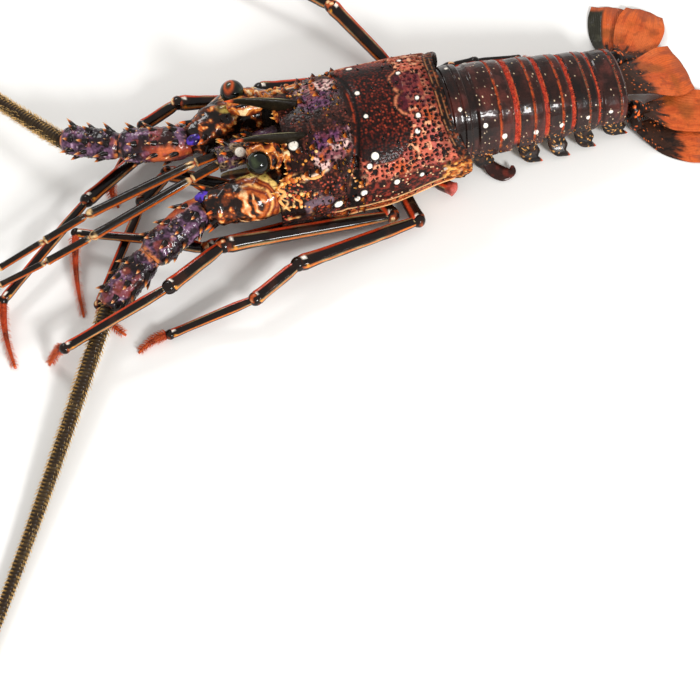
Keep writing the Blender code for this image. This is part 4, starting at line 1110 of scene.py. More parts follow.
def make_whip(side, word, peduncle, material, hair):
    """A whip of many short rings, each with its row of setae."""
    heading = unit(peduncle[4] - peduncle[3])
    start = peduncle[4] + heading * GAP
    share = np.linspace(0, 1, 1150)
    line = whip_line(side, start, share)
    pitch = 2.1
    phase = share * WHIP_LENGTH / pitch
    ring = 0.5 + 0.5 * np.cos(2 * math.pi * phase)
    radii = whip_radius(share) * (0.92 + 0.08 * ring ** 3)
    sweep = Sweep(line, radii, 20, 1.0, heading)
    paint = lay(coat(sweep.points, tone(66, 50, 30)), tone(112, 90, 52), rise_between(noise(sweep.points, 4.0, 231), -0.2, 0.5) * 0.7)
    paint = lay(paint, tone(34, 24, 15), np.broadcast_to(rise_between(ring, 0.6, 0.95)[:, None], sweep.share.shape) * 0.8)
    dark = rise_between(facing_angle(sweep.angle, 100), 55, 25)
    paint = lay(paint, tone(34, 24, 17), dark * 0.7)
    dotted = bell(facing_angle(sweep.angle, 60), 0, 14) * rise_between(ring, 0.3, 0.05)[:, None]
    paint = lay(paint, tone(196, 150, 76), dotted * 0.9)
    shape = Shape()
    add_tube(shape, sweep.points, paint)
    names = [f"antenna_whip_{part}_{word}" for part in ("near", "middle", "tip")]
    shape.make("antenna_whip_" + word, material, "whip", names)
    whip_setae(side, word, sweep, pitch, hair)


def whip_setae(side, word, sweep, pitch, hair):
    draw = np.random.default_rng(SEED + side)
    rings = int(WHIP_LENGTH / pitch)
    shape = Shape()
    for k in range(rings):
        share = k / rings
        i = int(share * (len(sweep.path) - 1))
        count = 26 if share < 0.5 else 14
        turn = draw.choice([0.35, math.pi - 0.1], count) + draw.normal(0, 0.4, count)
        lean = sweep.across[i] * np.cos(turn)[:, None] + sweep.up[i] * np.sin(turn)[:, None]
        roots = sweep.path[i] + lean * sweep.radii[i] * 0.95
        aims = lean * 0.9 + sweep.tangents[i] * draw.uniform(0.5, 1.3, count)[:, None]
        lengths = draw.uniform(1.4, 3.2, count) * mix(1.0, 0.2, share)
        places = np.stack([np.full(count, share), turn / (2 * math.pi) % 1.0], -1)
        bristles(shape, roots, aims, lengths, 0.13, SETA_GOLD, CREAM, places, sweep.tangents[i] * 0.3)
    shape.make("antenna_setae_" + word, hair, "whip", patches=True)


def make_antennae(base_material, purple_material, whip_material, hair):
    draw = random.Random(SEED + 1)
    for side, word in ((-1, "left"), (1, "right")):
        path = peduncle_path(side)
        make_antenna_base(side, word, path, base_material)
        for part in (2, 3):
            make_antenna_segment(part, side, word, path, draw, purple_material)
        make_whip(side, word, path, whip_material, hair)


# Antennules


def antennule_path(side):
    if side < 0:
        return [row(-86.3, -8.2, 34), row(-103, -15.5, 36.5), row(-165, -35, 30), row(-192, -42, 26), row(-220, -48, 22)]
    return [row(-86.3, -1.8, 34), row(-99, -5.5, 36.5), row(-165, -21, 31), row(-191, -29, 27), row(-219, -38, 23)]


# For each antennule flagellum: which way it heads and its sideways bend by the tip
FLAGELLA = {
    (-1, "outer"): (row(-0.93, -0.37, 0), -9.0),
    (-1, "inner"): (row(-0.97, -0.24, 0), -4.0),
    (1, "outer"): (row(-1.0, -0.02, 0), 9.0),
    (1, "inner"): (row(-0.99, -0.14, 0), 2.0),
}
FLAGELLUM_LENGTH = 92.0


def make_antennules(material):
    for side, word in ((-1, "left"), (1, "right")):
        path = antennule_path(side)
        shape = Shape()
        for k, (a, b, radius) in enumerate(zip(path, path[1:], (2.6, 2.6, 2.2, 1.9))):
            t = np.linspace(0, 1, 60)
            radii = radius * np.interp(t, (0, 0.03, 0.12, 0.85, 0.97, 1), (0.5, 0.85, 1.0, 1.0, 1.12, 0.6))
            sweep = Sweep(mix(a, b, t[:, None]), radii, 20)
            streak = noise(sweep.points * row(0.3, 1, 1), 1.2, 243)
            paint = lay(coat(sweep.points, tone(22, 15, 10, 0.8)), tone(48, 34, 20, 0.7), rise_between(streak, 0.2, 0.7) * 0.7)
            paint = lay(paint, tone(196, 92, 30), rise_between(facing_angle(sweep.angle, 172), 22, 14) * 0.9)
            ends = np.maximum(rise_between(sweep.share, 0.1, 0.05), rise_between(sweep.share, 0.93, 0.96))
            paint = lay(paint, tone(226, 186, 130), ends * rise_between(streak, 0.4, -0.3))
            paint = lay(paint, tone(150, 44, 30), rise_between(sweep.share, 0.03, 0.0))
            add_tube(shape, sweep.points, paint)
        shape.make("antennule_shell_" + word, material, "small_feeler", ["antennule_" + word])
        aim = unit(path[-1] - path[-2])
        for name, twin in (("outer", side), ("inner", -side)):
            heading, bend = FLAGELLA[side, name]
            across = row(-heading[1], heading[0], 0)
            start = path[-1] + aim * GAP + unit(np.cross(aim, UP)) * twin * 1.2
            share = np.linspace(0, 1, 160)[:, None]
            route = start + heading * FLAGELLUM_LENGTH * share - across * bend * share ** 2
            route[:, 2] = mix(start[2], 3.0, smooth(share[:, 0] * 0.9))
            sweep = Sweep(route, mix(1.0, 0.45, share[:, 0]), 12, 1.0, aim)
            stripe = rise_between(np.sin(sweep.along * 0.42), 0.1, 0.4)
            paint = lay(coat(sweep.points, BLACK), CREAM, stripe * rise_between(sweep.share, 0.15, 0.25))
            flagellum = Shape()
            add_tube(flagellum, sweep.points, paint)
            flagellum.make(f"antennule_{name}_whip_{word}", material, "small_feeler", [f"antennule_{name}_{word}"])


# Legs

# Where each leg's joints are: hip, knee, wrist, ankle and tip. The left fifth leg is a healed stump.
LEGS = {
    "left_1": (row(-58, -20, 5.5), row(-116, 8, 11), row(-134, -5, 7), row(-170, -64, 4.6), row(-159, -84, 0.6)),
    "left_2": (row(-22, -40, 5), row(-104, -46, 9.5), row(-127, -38, 15), row(-175, -18, 10), row(-180, -67, 0.6)),
    "left_3": (row(6, -50, 7.5), row(-94, -52, 20), row(-128, -73, 25), row(-191, -92, 17), row(-203, -92, 0.6)),
    "left_4": (row(20, -57, 8), row(-55, -72, 16), row(-83, -86, 13), row(-134, -92, 4.5), row(-153, -97, 0.6)),
    "right_1": (row(-56, 24, 6), row(-121, 30, 11), row(-165, 0, 13), row(-222, -50, 8), row(-222, -89, 0.6)),
    "right_2": (row(-24, 43, 5), row(-101, 48, 21), row(-124, 42, 14), row(-149, 15, 5.5), row(-149, -1, 0.6)),
    "right_3": (row(4, 50, 5.5), row(-50, 57, 4.9), row(-68, 40, 4.1), row(-100, 40, 3.2), row(-113, 41, 0.6)),
    "right_4": (row(33, 50, 8), row(5, 95, 22), row(-14, 118, 20), row(-58, 150, 6), row(-75, 158, 0.6)),
    "right_5": (row(42, 38, 5), row(68, 43, 7), row(84, 44, 6), row(112, 42, 3.4), row(124, 40, 0.6)),
}
LEG_ROOTS = {"1": -40.0, "2": -22.0, "3": -3.0, "4": 16.0, "5": 33.0}
LEG_RADIUS = {"1": 4.3, "2": 4.1, "3": 4.5, "4": 4.3, "5": 3.6}
STUMP = (row(38, -33, 5), row(46, -42, 8))
ROOT_HEIGHT = 5.2


def breast_half(x):
    return mix(BREAST_FRONT_HALF, BREAST_REAR_HALF, (x - CARAPACE_FRONT) / (BREAST_REAR - CARAPACE_FRONT))


def breast_side(side):
    slope = (BREAST_REAR_HALF - BREAST_FRONT_HALF) / (BREAST_REAR - CARAPACE_FRONT)
    return unit(row(-slope, side, 0))


def leg_root(name):
    side = -1 if name.startswith("left") else 1
    x = LEG_ROOTS[name[-1]]
    return row(x, side * breast_half(x), ROOT_HEIGHT) + breast_side(side) * GAP, breast_side(side)


def leg_paint(sweep, seed, claw=False):
    """Glossy black with red and orange stripes along it, pale at its joints. A claw is red-brown."""
    points = sweep.points
    if claw:
        paint = lay(coat(points, tone(176, 62, 30)), tone(96, 34, 20), rise_between(noise(points, 5, seed), 0, 0.6))
        return lay(paint, tone(214, 92, 36), rise_between(sweep.share, 0.6, 1.0) * 0.7)
    paint = lay(coat(points, tone(20, 12, 10)), tone(52, 28, 18), rise_between(noise(points, 6, seed), 0.1, 0.7) * 0.6)
    wander = 5 * noise(points, 12, seed + 1)
    for place, width, colour in ((52, 15, tone(210, 66, 30)), (165, 12, tone(222, 118, 42)), (280, 12, RED)):
        gap = facing_angle(sweep.angle, place + wander)
        paint = lay(paint, CREAM, bell(gap, width, 2.0) * 0.35)
        paint = lay(paint, colour, rise_between(gap, width, width - 5))
    joint = np.maximum(rise_between(sweep.share, 0.06, 0.03), rise_between(sweep.share, 0.95, 0.97))
    paint = lay(paint, lay(coat(points, DARK), tone(178, 70, 34), rise_between(noise(points, 2.2, seed), 0.1, 0.5)), joint * 0.85)
    for place, angle, size, colour in ((0.94, 80, 1.3, WHITE), (0.93, 150, 0.8, AMBER), (0.05, 110, 0.9, CREAM)):
        gap = np.hypot((sweep.share - place) * sweep.length[-1], np.radians(facing_angle(sweep.angle, angle)) * 4)
        paint = lay(paint, colour, rise_between(gap, size, size * 0.7))
    return paint


def leg_segment(shape, a, b, first, last, seed, sides=28, claw=False):
    """One stretch of a leg: a neck, a shaft with flattened sides and a thick far end."""
    length = np.linalg.norm(b - a)
    count = int(np.clip(length * 0.8, 14, 70))
    t = np.linspace(0, 1, count)
    lap = 0.3 * first / length
    line = mix(a, b, (t * (1 + 2 * lap) - lap)[:, None])
    if claw:
        line = line + unit(np.cross(b - a, UP)) * (2.0 * np.sin(math.pi * t))[:, None]
        radii = mix(first, last, t ** 0.9) * np.interp(t, (0, 0.05, 0.12, 1), (0.6, 0.85, 1.0, 0.6))
    else:
        ends = np.interp(t, (0, 0.02, 0.08, 0.25, 0.82, 0.94, 0.985, 1), (0.45, 0.7, 0.8, 0.98, 1.0, 1.13, 0.95, 0.5))
        radii = mix(first, last, t) * ends
    sweep = Sweep(line, radii, sides, 0.92)
    square = 0.05 * np.cos(4 * sweep.angle)
    lumps = 0.02 * noise(sweep.points, 4.0, seed + 5)
    sweep.points = sweep.points + sweep.out * (sweep.radii[:, None] * (lumps - square))[..., None]
    add_tube(shape, sweep.points, leg_paint(sweep, seed, claw))
    return sweep


def leg_knob(shape, centre, radius, seed):
    """The rounded joint between two stretches of a leg, dark and mottled."""
    t = np.linspace(0.05, math.pi - 0.05, 22)
    sweep = Sweep(centre + UP * (-np.cos(t) * radius * 0.95)[:, None], np.sin(t) * radius, 24)
    lump = noise(sweep.points, 2.6, seed)
    paint = lay(coat(sweep.points, tone(26, 16, 12)), tone(176, 78, 34), rise_between(lump, 0.2, 0.5))
    paint = lay(paint, tone(244, 206, 150), rise_between(lump, 0.55, 0.7))
    add_tube(shape, sweep.points + sweep.out * (0.06 * radius * lump)[..., None], paint)


def claw_hairs(shape, sweep, draw, number):
    """Orange hairs in rows along a leg's last segment."""
    count = 640
    i = draw.integers(2, len(sweep.path) - 2, count)
    turn = draw.choice([20, 65, 115, 160, 270], count) + draw.normal(0, 12, count)
    turn = np.radians(turn)
    lean = sweep.across[i] * np.cos(turn)[:, None] + sweep.up[i] * np.sin(turn)[:, None]
    roots = sweep.path[i] + lean * sweep.radii[i][:, None] * 0.9
    aims = lean + sweep.tangents[i] * draw.uniform(0.4, 1.0, count)[:, None]
    lengths = draw.uniform(1.4, 3.4, count)
    places = np.stack([(number + 0.05 + 0.8 * (turn % 6.283) / 6.283) / 10, i / len(sweep.path)], -1)
    bristles(shape, roots, aims, lengths, 0.12, SETA_RED, tone(236, 130, 66, 0.2), places, sweep.tangents[i] * 0.25)


def make_legs(material, hair):
    draw = np.random.default_rng(SEED)
    hairs = Shape()
    for number, (name, (hip, knee, wrist, ankle, tip)) in enumerate(LEGS.items()):
        root, normal = leg_root(name)
        radius = LEG_RADIUS[name[-1]]
        seed = 300 + 10 * number
        coxa = root + normal * 7
        shape = Shape()
        leg_segment(shape, root, coxa, radius, radius * 1.05, seed)
        leg_segment(shape, coxa, hip, radius * 0.98, radius * 0.98, seed + 1)
        leg_segment(shape, hip, knee, radius * 0.92, radius * 1.02, seed + 2)
        leg_segment(shape, knee, wrist, radius * 0.9, radius * 0.9, seed + 3)
        leg_segment(shape, wrist, ankle, radius * 0.74, radius * 0.58, seed + 4)
        for k, (joint, size) in enumerate(((coxa, 1.05), (hip, 1.02), (knee, 1.06), (wrist, 0.98), (ankle, 0.72))):
            leg_knob(shape, joint, radius * size, seed + 20 + k)
        claw = leg_segment(shape, ankle, tip, radius * 0.6, 1.2, seed + 6, 20, claw=True)
        claw_hairs(hairs, claw, draw, number)
        shape.make("leg_shell_" + name, material, "leg_shell", [f"leg_{name}_upper", f"leg_{name}_lower"])
    hairs.make("leg_hairs", hair, "leg_shell", patches=True)
    root, normal = leg_root("left_5")
    stump = Shape()
    leg_segment(stump, root, STUMP[0], 3.9, 4.1, 390)
    end = leg_segment(stump, STUMP[0], STUMP[1], 4.0, 3.9, 391)
    paint = lay(stump.paint[-1], tone(186, 84, 74, 0.8), rise_between(dots(stump.points[-1] - STUMP[0], end.tangents[0]), 7, 11))
    paint = lay(paint, tone(104, 40, 34), rise_between(noise(stump.points[-1], 3.0, 392), 0.0, 0.5) * 0.7)
    stump.paint[-1] = paint
    stump.make("leg_shell_left_5", material, "leg_shell", ["leg_left_5_stump"])


def make_breastplate(material):
    """The plate between the legs' roots, with a dark line painted across it for each pair."""
    rows, columns = 120, 64
    x = np.linspace(CARAPACE_FRONT, BREAST_REAR, rows)
    half = breast_half(x)[:, None]
    turn = np.linspace(0, 2 * math.pi, columns, endpoint=False)[None, :]
    top = CARAPACE_FLOOR - GAP
    y = half * bulge(np.cos(turn), 0.35)
    z = np.broadcast_to(top / 2 + top / 2 * bulge(np.sin(turn), 0.35), y.shape)
    points = np.stack([np.broadcast_to(x[:, None], y.shape), y, z], -1)
    paint = lay(coat(points, tone(196, 150, 96)), UMBER, rise_between(noise(points, 8, 401), 0, 0.6))
    for place in LEG_ROOTS.values():
        seam = bell(points[..., 0], place + 9.0, 0.8)
        paint = lay(paint, DARK, seam * 0.8)
    shape = Shape()
    add_tube(shape, points, paint)
    shape.make("breast_shell", material, "belly", ["breastplate"])


# Tail


def tail_share(x):
    return (x - TAIL_JOINTS[0]) / (TAIL_JOINTS[-1] - TAIL_JOINTS[0])


# Side flap of each tail ring: where it begins and ends along the ring, how deep it hangs and how far out
PLEURA = (
    (0.22, 0.95, 6.0, 1.5), (0.08, 0.62, 11.6, 3.0), (0.2, 0.98, 11.3, 6.5),
    (0.2, 1.0, 11.2, 7.5), (0.2, 1.0, 10.8, 6.0), (0.2, 0.95, 9.6, 3.5),
)
FLAP_OUTLINE = (
    (0.0, 0.5), (0.02, -0.2), (0.14, -0.62), (0.42, -0.9), (0.72, -0.97), (1.04, -1.0),
    (0.84, -0.7), (0.93, -0.44), (0.82, -0.12), (0.84, 0.5),
)
# How wide the red band at the front of each ring is
RED_BANDS = (0.0, 0.0, 3.6, 2.9, 2.4, 1.4)
# Large white spots on the left side of the rings: ring, share of its length, angle up from the left edge
RING_SPOTS = ((0, 0.5, 64, 1.3), (1, 0.3, 40, 1.6), (1, 0.75, 22, 1.8), (2, 0.7, 18, 1.7), (3, 0.62, 20, 1.7), (4, 0.6, 24, 1.5), (5, 0.35, 26, 1.5))


def ring_height(index, share):
    """How full the ring is at a share of its length: a low neck, a step and a groove."""
    neck = mix(0.965 if index == 0 else 0.95, 0.985, rise_between(share, 0.13, 0.21))
    full = neck + 0.015 * rise_between(share, 0.21, 0.6)
    close = 0.012 * rise_between(share, 0.93, 1.0) + 0.3 * (index == 5) * np.maximum(share - 0.8, 0) ** 2 / 0.04
    return full - 0.022 * bell(share, 0.67, 0.025) - close


def make_tail_ring(index, material, hairs):
    x0, x1 = TAIL_JOINTS[index], TAIL_JOINTS[index + 1]
    rows, columns = int((x1 - x0) * 4.2), 176
    share, turn = np.meshgrid(np.linspace(0, 1, rows), np.linspace(0, math.pi, columns), indexing="ij")
    x = mix(x0 + GAP, x1, share)
    whole = tail_share(x)
    half = mix(*TAIL_HALF_WIDTH, whole) * ring_height(index, share)
    top = mix(*TAIL_BACK, whole ** 1.25)
    y = -bulge(np.cos(turn), 0.82) * half
    z = TAIL_BELLY + bulge(np.sin(turn), 0.85) * (top - TAIL_BELLY) * ring_height(index, share)
    points = np.stack([x, y, z], -1)
    paint, relief = ring_looks(index, points, share, turn, x1 - x0)
    normals = unit(np.stack([np.zeros_like(y), y / half ** 2, (z - TAIL_BELLY) / (top - TAIL_BELLY) ** 2], -1))
    points = points + normals * relief[..., None]
    under = np.linspace(0.94, -0.94, 12)
    belly = np.stack([
        np.broadcast_to(x[:, :1], (rows, 12)), half[:, :1] * under,
        TAIL_BELLY + 3.0 - 2.4 * np.broadcast_to(under ** 4, (rows, 12)),
    ], -1)
    shape = Shape()
    ends = np.maximum(rise_between(share, 0.97, 1.0), rise_between(share, 0.03, 0.0))
    paint = lay(paint, DARK, ends * 0.9)
    under_paint = lay(coat(belly, KHAKI), DARK, ends[:, :12])
    add_tube(shape, np.concatenate([points, belly], 1), np.concatenate([paint, under_paint], 1))
    side_half = mix(*TAIL_HALF_WIDTH, tail_share(x0 + (x1 - x0) * 0.6))
    for side in (-1, 1):
        add_pleuron(shape, index, side, x0, x1, side_half)
        if index == 1 and side < 0:
            add_curled_swimmeret(shape)
        elif 1 <= index <= 4:
            add_swimmeret(shape, side, x0 + (x1 - x0) * 0.25, side_half)
    shape.make(f"tail_ring_shell_{index + 1}", material, "tail_shell", [f"tail_ring_{index + 1}"])
    neck_setae(index, points, normals, share, hairs)


def ring_looks(index, points, share, turn, length):
    """Paint and relief of a tail ring: red band in front, thin line, glossy dark shell with pale dots."""
    side = np.abs(np.degrees(turn) - 90) / 90
    run = share * length
    blotch = rough(points * row(1.0, 0.6, 0.6), 7.0, 501 + index)
    streak = rough(points * row(0.35, 1, 1), 2.5, 521)
    fine = rough(points, 1.6, 541)
    paint = lay(coat(points, tone(40, 20, 16)), tone(86, 40, 34), rise_between(blotch, 0.0, 0.6) * 0.8)
    paint = lay(paint, BLACK, rise_between(blotch, -0.05, -0.4) * 0.9)
    paint = lay(paint, tone(88, 50, 48), rise_between(streak, 0.2, 0.7) * 0.4)
    near, _, number = cells(points, 2.5, 531)
    dot = rise_between(near, 0.2, 0.12) * (number > (0.66 if index > 1 else 0.5) - 0.25 * side) * rise_between(run, 4.5, 5.0)
    paint = lay(paint, tone(240, 214, 176), dot * 0.9)
    low = rise_between(side, 0.98, 0.86)
    wide = RED_BANDS[index]
    band = lay(coat(points, tone(184, 56, 34, 0.35)), tone(112, 28, 20, 0.35), rise_between(fine, -0.05, 0.35))
    # Painted sheen: the band turns pink towards the right (+Y) side
    band = lay(band, tone(196, 76, 84, 0.4), rise_between(points[..., 1], 4.0, 18.0) * rise_between(fine, 0.2, -0.2) * 0.7)
    band = lay(band, tone(222, 110, 60, 0.4), bell(run, wide, 0.5) * rise_between(fine, 0.2, -0.2))
    paint = lay(paint, tone(30, 18, 16), rise_between(run, wide + 1.6, wide + 0.6) * 0.9)
    paint = mix(paint, band, (rise_between(run, wide + 0.2, wide - 0.2) * rise_between(run, 0.1, 0.4) * low)[..., None])
    groove = bell(run, 0.675 * length, 0.65) * low
    line = tone(196, 88, 40, 0.4) if index < 4 else tone(126, 86, 60, 0.4)
    paint = lay(paint, BLACK, bell(run, 0.675 * length - 1.0, 0.7) * low * 0.7)
    paint = lay(paint, line, groove * rise_between(fine, 0.5, -0.2) * (index > 0))
    paint = lay(paint, tone(120, 60, 36), rise_between(share, 0.965, 0.985) * 0.5 * low * (index > 0))
    small, _, chosen = cells(points, 1.5, 551)
    corner = rise_between(side, 0.86, 0.96) * rise_between(small, 0.36, 0.24) * (chosen > 0.5)
    paint = lay(paint, tone(214, 130, 56), corner)
    relief = 0.2 * blotch + 0.12 * dot + 0.14 * streak * rise_between(run, wide, wide + 1.0)
    for ring, place, degrees, size in RING_SPOTS:
        if ring != index:
            continue
        for angle in (degrees, 180 - degrees):
            gap = np.hypot((share - place) * length, np.radians(np.degrees(turn) - angle) * 28)
            paint = lay(paint, WHITE, rise_between(gap, size, size * 0.75))
            relief = relief + 0.3 * rise_between(gap, size, size * 0.6)
    return paint, relief


def neck_setae(index, points, normals, share, hairs):
    """Short red bristles that fill the neck band and the groove of a ring."""
    draw = np.random.default_rng(SEED + 20 + index)
    rows, columns = share.shape
    length = TAIL_JOINTS[index + 1] - TAIL_JOINTS[index]
    wide = RED_BANDS[index]
    for low, high, count in ((0.3 / length, max(wide, 0.4) / length, int(200 * wide)), (0.655, 0.69, 200 * (index > 0))):
        i = (draw.uniform(low, high, count) * (rows - 1)).astype(int)
        j = draw.integers(int(columns * 0.08), int(columns * 0.92), count)
        roots, out = points[i, j], normals[i, j]
        aims = out * 0.55 + row(1, 0, 0) + draw.normal(0, 0.25, (count, 3))
        places = np.stack([(index + i / rows) / 6, j / columns], -1)
        bristles(hairs, roots, aims, draw.uniform(0.7, 1.5, count), 0.1, SETA_RED, tone(230, 96, 60, 0.2), places, out * 0.1)


def add_leaf(shape, outline, face, thick, paint_of):
    """A closed leaf between two bulging faces over an outline. face turns outline points into space."""
    outline = curve(outline, 72, closed=True)
    middle = outline.mean(0)
    for_face = []
    for turned in (1, -1):
        rings = []
        for k, scale in enumerate(np.linspace(1.0, 0.08, 9)):
            ring = mix(middle, outline, scale)
            swell = thick * 0.5 * math.sqrt(max(0.0, 1 - scale ** 4)) * turned
            rings.append(face(ring, swell))
        for_face.append(rings)
    rings = np.array(for_face[1][::-1] + for_face[0][1:])
    add_tube(shape, rings, paint_of(rings))


def add_pleuron(shape, index, side, x0, x1, half):
    """The hooked side flap of a tail ring, pointing down, out and back."""
    begin, end, depth, flare = PLEURA[index]

    def face(ring, swell):
        share, drop = ring[:, 0], ring[:, 1]
        x = mix(x0, x1, mix(begin, end, share))
        out = np.where(drop < 0, flare * smooth(-drop), -1.0 * smooth(drop * 2))
        return np.stack([x, side * (half + out - 1.2 + swell), TAIL_BELLY + drop * depth], -1)

    def paint_of(points):
        paint = lay(coat(points, BLACK), UMBER, rise_between(rough(points, 2.6, 551), -0.1, 0.5) * 0.7)
        near, _, number = cells(points, 1.7, 552)
        paint = lay(paint, tone(226, 160, 84), rise_between(near, 0.34, 0.22) * (number > 0.55))
        hook = rise_between(points[..., 0], mix(x0, x1, end) - 1.6, mix(x0, x1, end))
        low = rise_between(points[..., 2], TAIL_BELLY - depth * 0.7, TAIL_BELLY - depth * 0.9)
        return lay(paint, tone(240, 92, 36), hook * low)

    add_leaf(shape, np.array(FLAP_OUTLINE), face, 2.4, paint_of)


def add_swimmeret(shape, side, x, half):
    """A leaf-shaped paddle under the tail."""
    outline = [(0.0, 1.6), (0.35, 3.8), (0.75, 3.4), (1.0, 0.0), (0.75, -3.4), (0.35, -3.8), (0.0, -1.6)]

    def face(ring, swell):
        share, across = ring[:, 0], ring[:, 1]
        centre = np.stack([x + 7.5 * share, side * (half * 0.52 + 4.5 * share) + across, TAIL_BELLY + 3.6 - 13.0 * share], -1)
        return centre + row(1, 0, 0.5) * swell

    add_leaf(shape, outline, face, 1.2, lambda p: lay(coat(p, MAROON), ORANGE, rise_between(noise(p, 4, 561), 0.1, 0.6)))


def add_curled_swimmeret(shape):
    """The left paddle of the second ring, which has slipped out beside the tail and curls back."""
    knots = [(68, -22, 13), (70.5, -27, 7), (74, -32, 3.4), (79, -35.5, 2.4), (84, -35.5, 3), (85.5, -32.5, 4.5)]
    radii = np.interp(np.linspace(0, 5, 60), range(6), (2.6, 3.4, 4.8, 4.8, 3.0, 0.8))
    sweep = Sweep(curve(knots, 60), radii, 32, 0.3)
    paint = lay(coat(sweep.points, tone(44, 20, 16)), tone(96, 34, 24), rise_between(noise(sweep.points, 4, 571), 0, 0.6))
    add_tube(shape, sweep.points, paint)


# Tail fan

OUTER_BLADE = ((3, 4), (8, 8.5), (12, 11.5), (14.5, 14), (15.4, 15.2), (15, 15.4), (14, 14.2))
INNER_BLADE = ((3, 3), (9, 6), (14, 8), (17.8, 9.8), (19.4, 11), (19, 11), (15.5, 8.5))
TELSON_BLADE = ((9.5, 9.5), (11.5, 11.5), (13, 13.2), (14.5, 15.5), (16.2, 18.7), (17, 20.8), (15.5, 19))
BLADE_BOW = 1.8
FAN = {"right": (1, 55.0, 67.0), "left": (-1, 10.0, 25.0)}
TELSON_HEADING = 9.0
TELSON_LENGTH = 47.0
INNER_LENGTH = 48.0
OUTER_LENGTH = 43.0
TELSON_REST = (6.0, 1.1)
INNER_REST = (2.9, 2.2)
OUTER_REST = (0.5, 2.4)


def blade(root, heading, length, half_widths, rest, paint_of, square=False):
    """A fan blade with fine ribs spreading over it."""
    turn = math.radians(heading)
    forward = row(math.cos(turn), math.sin(turn), 0)
    outward = row(-forward[1], forward[0], 0) * (1 if heading > 0 else -1)
    straight = row(0, math.copysign(1, outward[1]), 0)
    rows, columns = 96, 110
    widths = curve(half_widths, rows)
    share, across = np.meshgrid(np.linspace(0, 1, rows), np.linspace(0, 1, columns), indexing="ij")
    middle = 1 - np.abs(2 * across - 1)
    reach = length * share + BLADE_BOW * share ** 4 * smooth(middle)
    offset = mix(-widths[:, :1], widths[:, 1:], across)
    lean = smooth(share * 3)[..., None]
    sideways = mix(straight, outward, lean) if square else outward
    points = root + forward * reach[..., None] + sideways * offset[..., None]
    thickness = mix(2.2, 0.8, smooth(share * 2.4)) * mix(0.5, 1.0, smooth(middle * 3))
    height = mix(root[2], rest[0], smooth(share * rest[1]))
    ribs = np.cos(across * 2 * math.pi * 26 + 0.8 * noise(points, 9, 601))
    strength = rise_between(share, 0.12, 0.35)
    paint, relief = paint_of(points, share, across, ribs)
    lift = 0.1 * ribs * strength + relief + 0.25 * rough(points, 8, 602)
    wave = 0.5 * np.sin(across * 9 + share * 5) * rise_between(share, 0.5, 1.0)
    upper, lower = points.copy(), points.copy()
    upper[..., 2] = height + thickness / 2 + lift + np.abs(wave)
    lower[..., 2] = height - thickness / 2 + 0.3 * np.abs(wave)
    sheet = np.concatenate([upper, lower[:, ::-1]], 1)
    # Painted shade: the lower face is the upper face's paint darkened with umber
    colours = np.concatenate([paint, lay(paint[:, ::-1], UMBER, np.full(share.shape, 0.3))], 1)
    shape = Shape()
    add_tube(shape, sheet, colours)
    return shape


def blade_paint(root_end, dark_side=False):
    """Paint of a blade: speckled dark root, streaked orange vane, darker margin, and a dark outer edge."""

    def paint_of(points, share, across, ribs):
        streak = rough(np.stack([share * 14, across * 90], -1), 6.0, 611)
        spread = share + 0.16 * streak
        paint = lay(coat(points, tone(204, 94, 42)), tone(176, 72, 32), rise_between(streak, -0.1, 0.5) * 0.8)
        paint = lay(paint, tone(208, 106, 54), rise_between(noise(points, 12, 612), 0.1, 0.6) * 0.7)
        paint = lay(paint, tone(140, 74, 28), rise_between(noise(points, 10, 616) - 0.8 * share, -0.35, 0.1) * 0.8)
        mottle = rough(points, 3.0, 615)
        paint = lay(paint, tone(128, 58, 28), rise_between(mottle, 0.15, 0.5) * 0.5)
        paint = lay(paint, tone(150, 56, 24), rise_between(ribs, 0.2, 0.9) * 0.2)
        root = rise_between(spread, root_end + 0.12, root_end - 0.06)
        paint = lay(paint, tone(52, 30, 20), root)
        paint = lay(paint, BLACK, root * rise_between(mottle, 0.0, 0.3) * 0.8)
        near, _, number = cells(points, 1.5, 613)
        speck = rise_between(near, 0.36, 0.22) * (number > 0.55) * rise_between(spread, 0.42, 0.34)
        paint = lay(paint, tone(226, 112, 50), speck * rise_between(mottle, -0.3, 0.1))
        paint = lay(paint, tone(150, 76, 50), rise_between(spread, 0.84, 0.98) * 0.7)
        rim = np.zeros_like(across)
        if dark_side:
            rim = rise_between(across, 0.66, 0.74) * rise_between(share, 0.97, 0.9)
            paint = lay(paint, tone(40, 38, 28), rim)
            paint = lay(paint, tone(72, 70, 54), rim * rise_between(mottle, 0.0, 0.5) * 0.5)
        return paint, 0.25 * speck + 0.5 * bell(across, 0.7, 0.03) * rim

    return paint_of


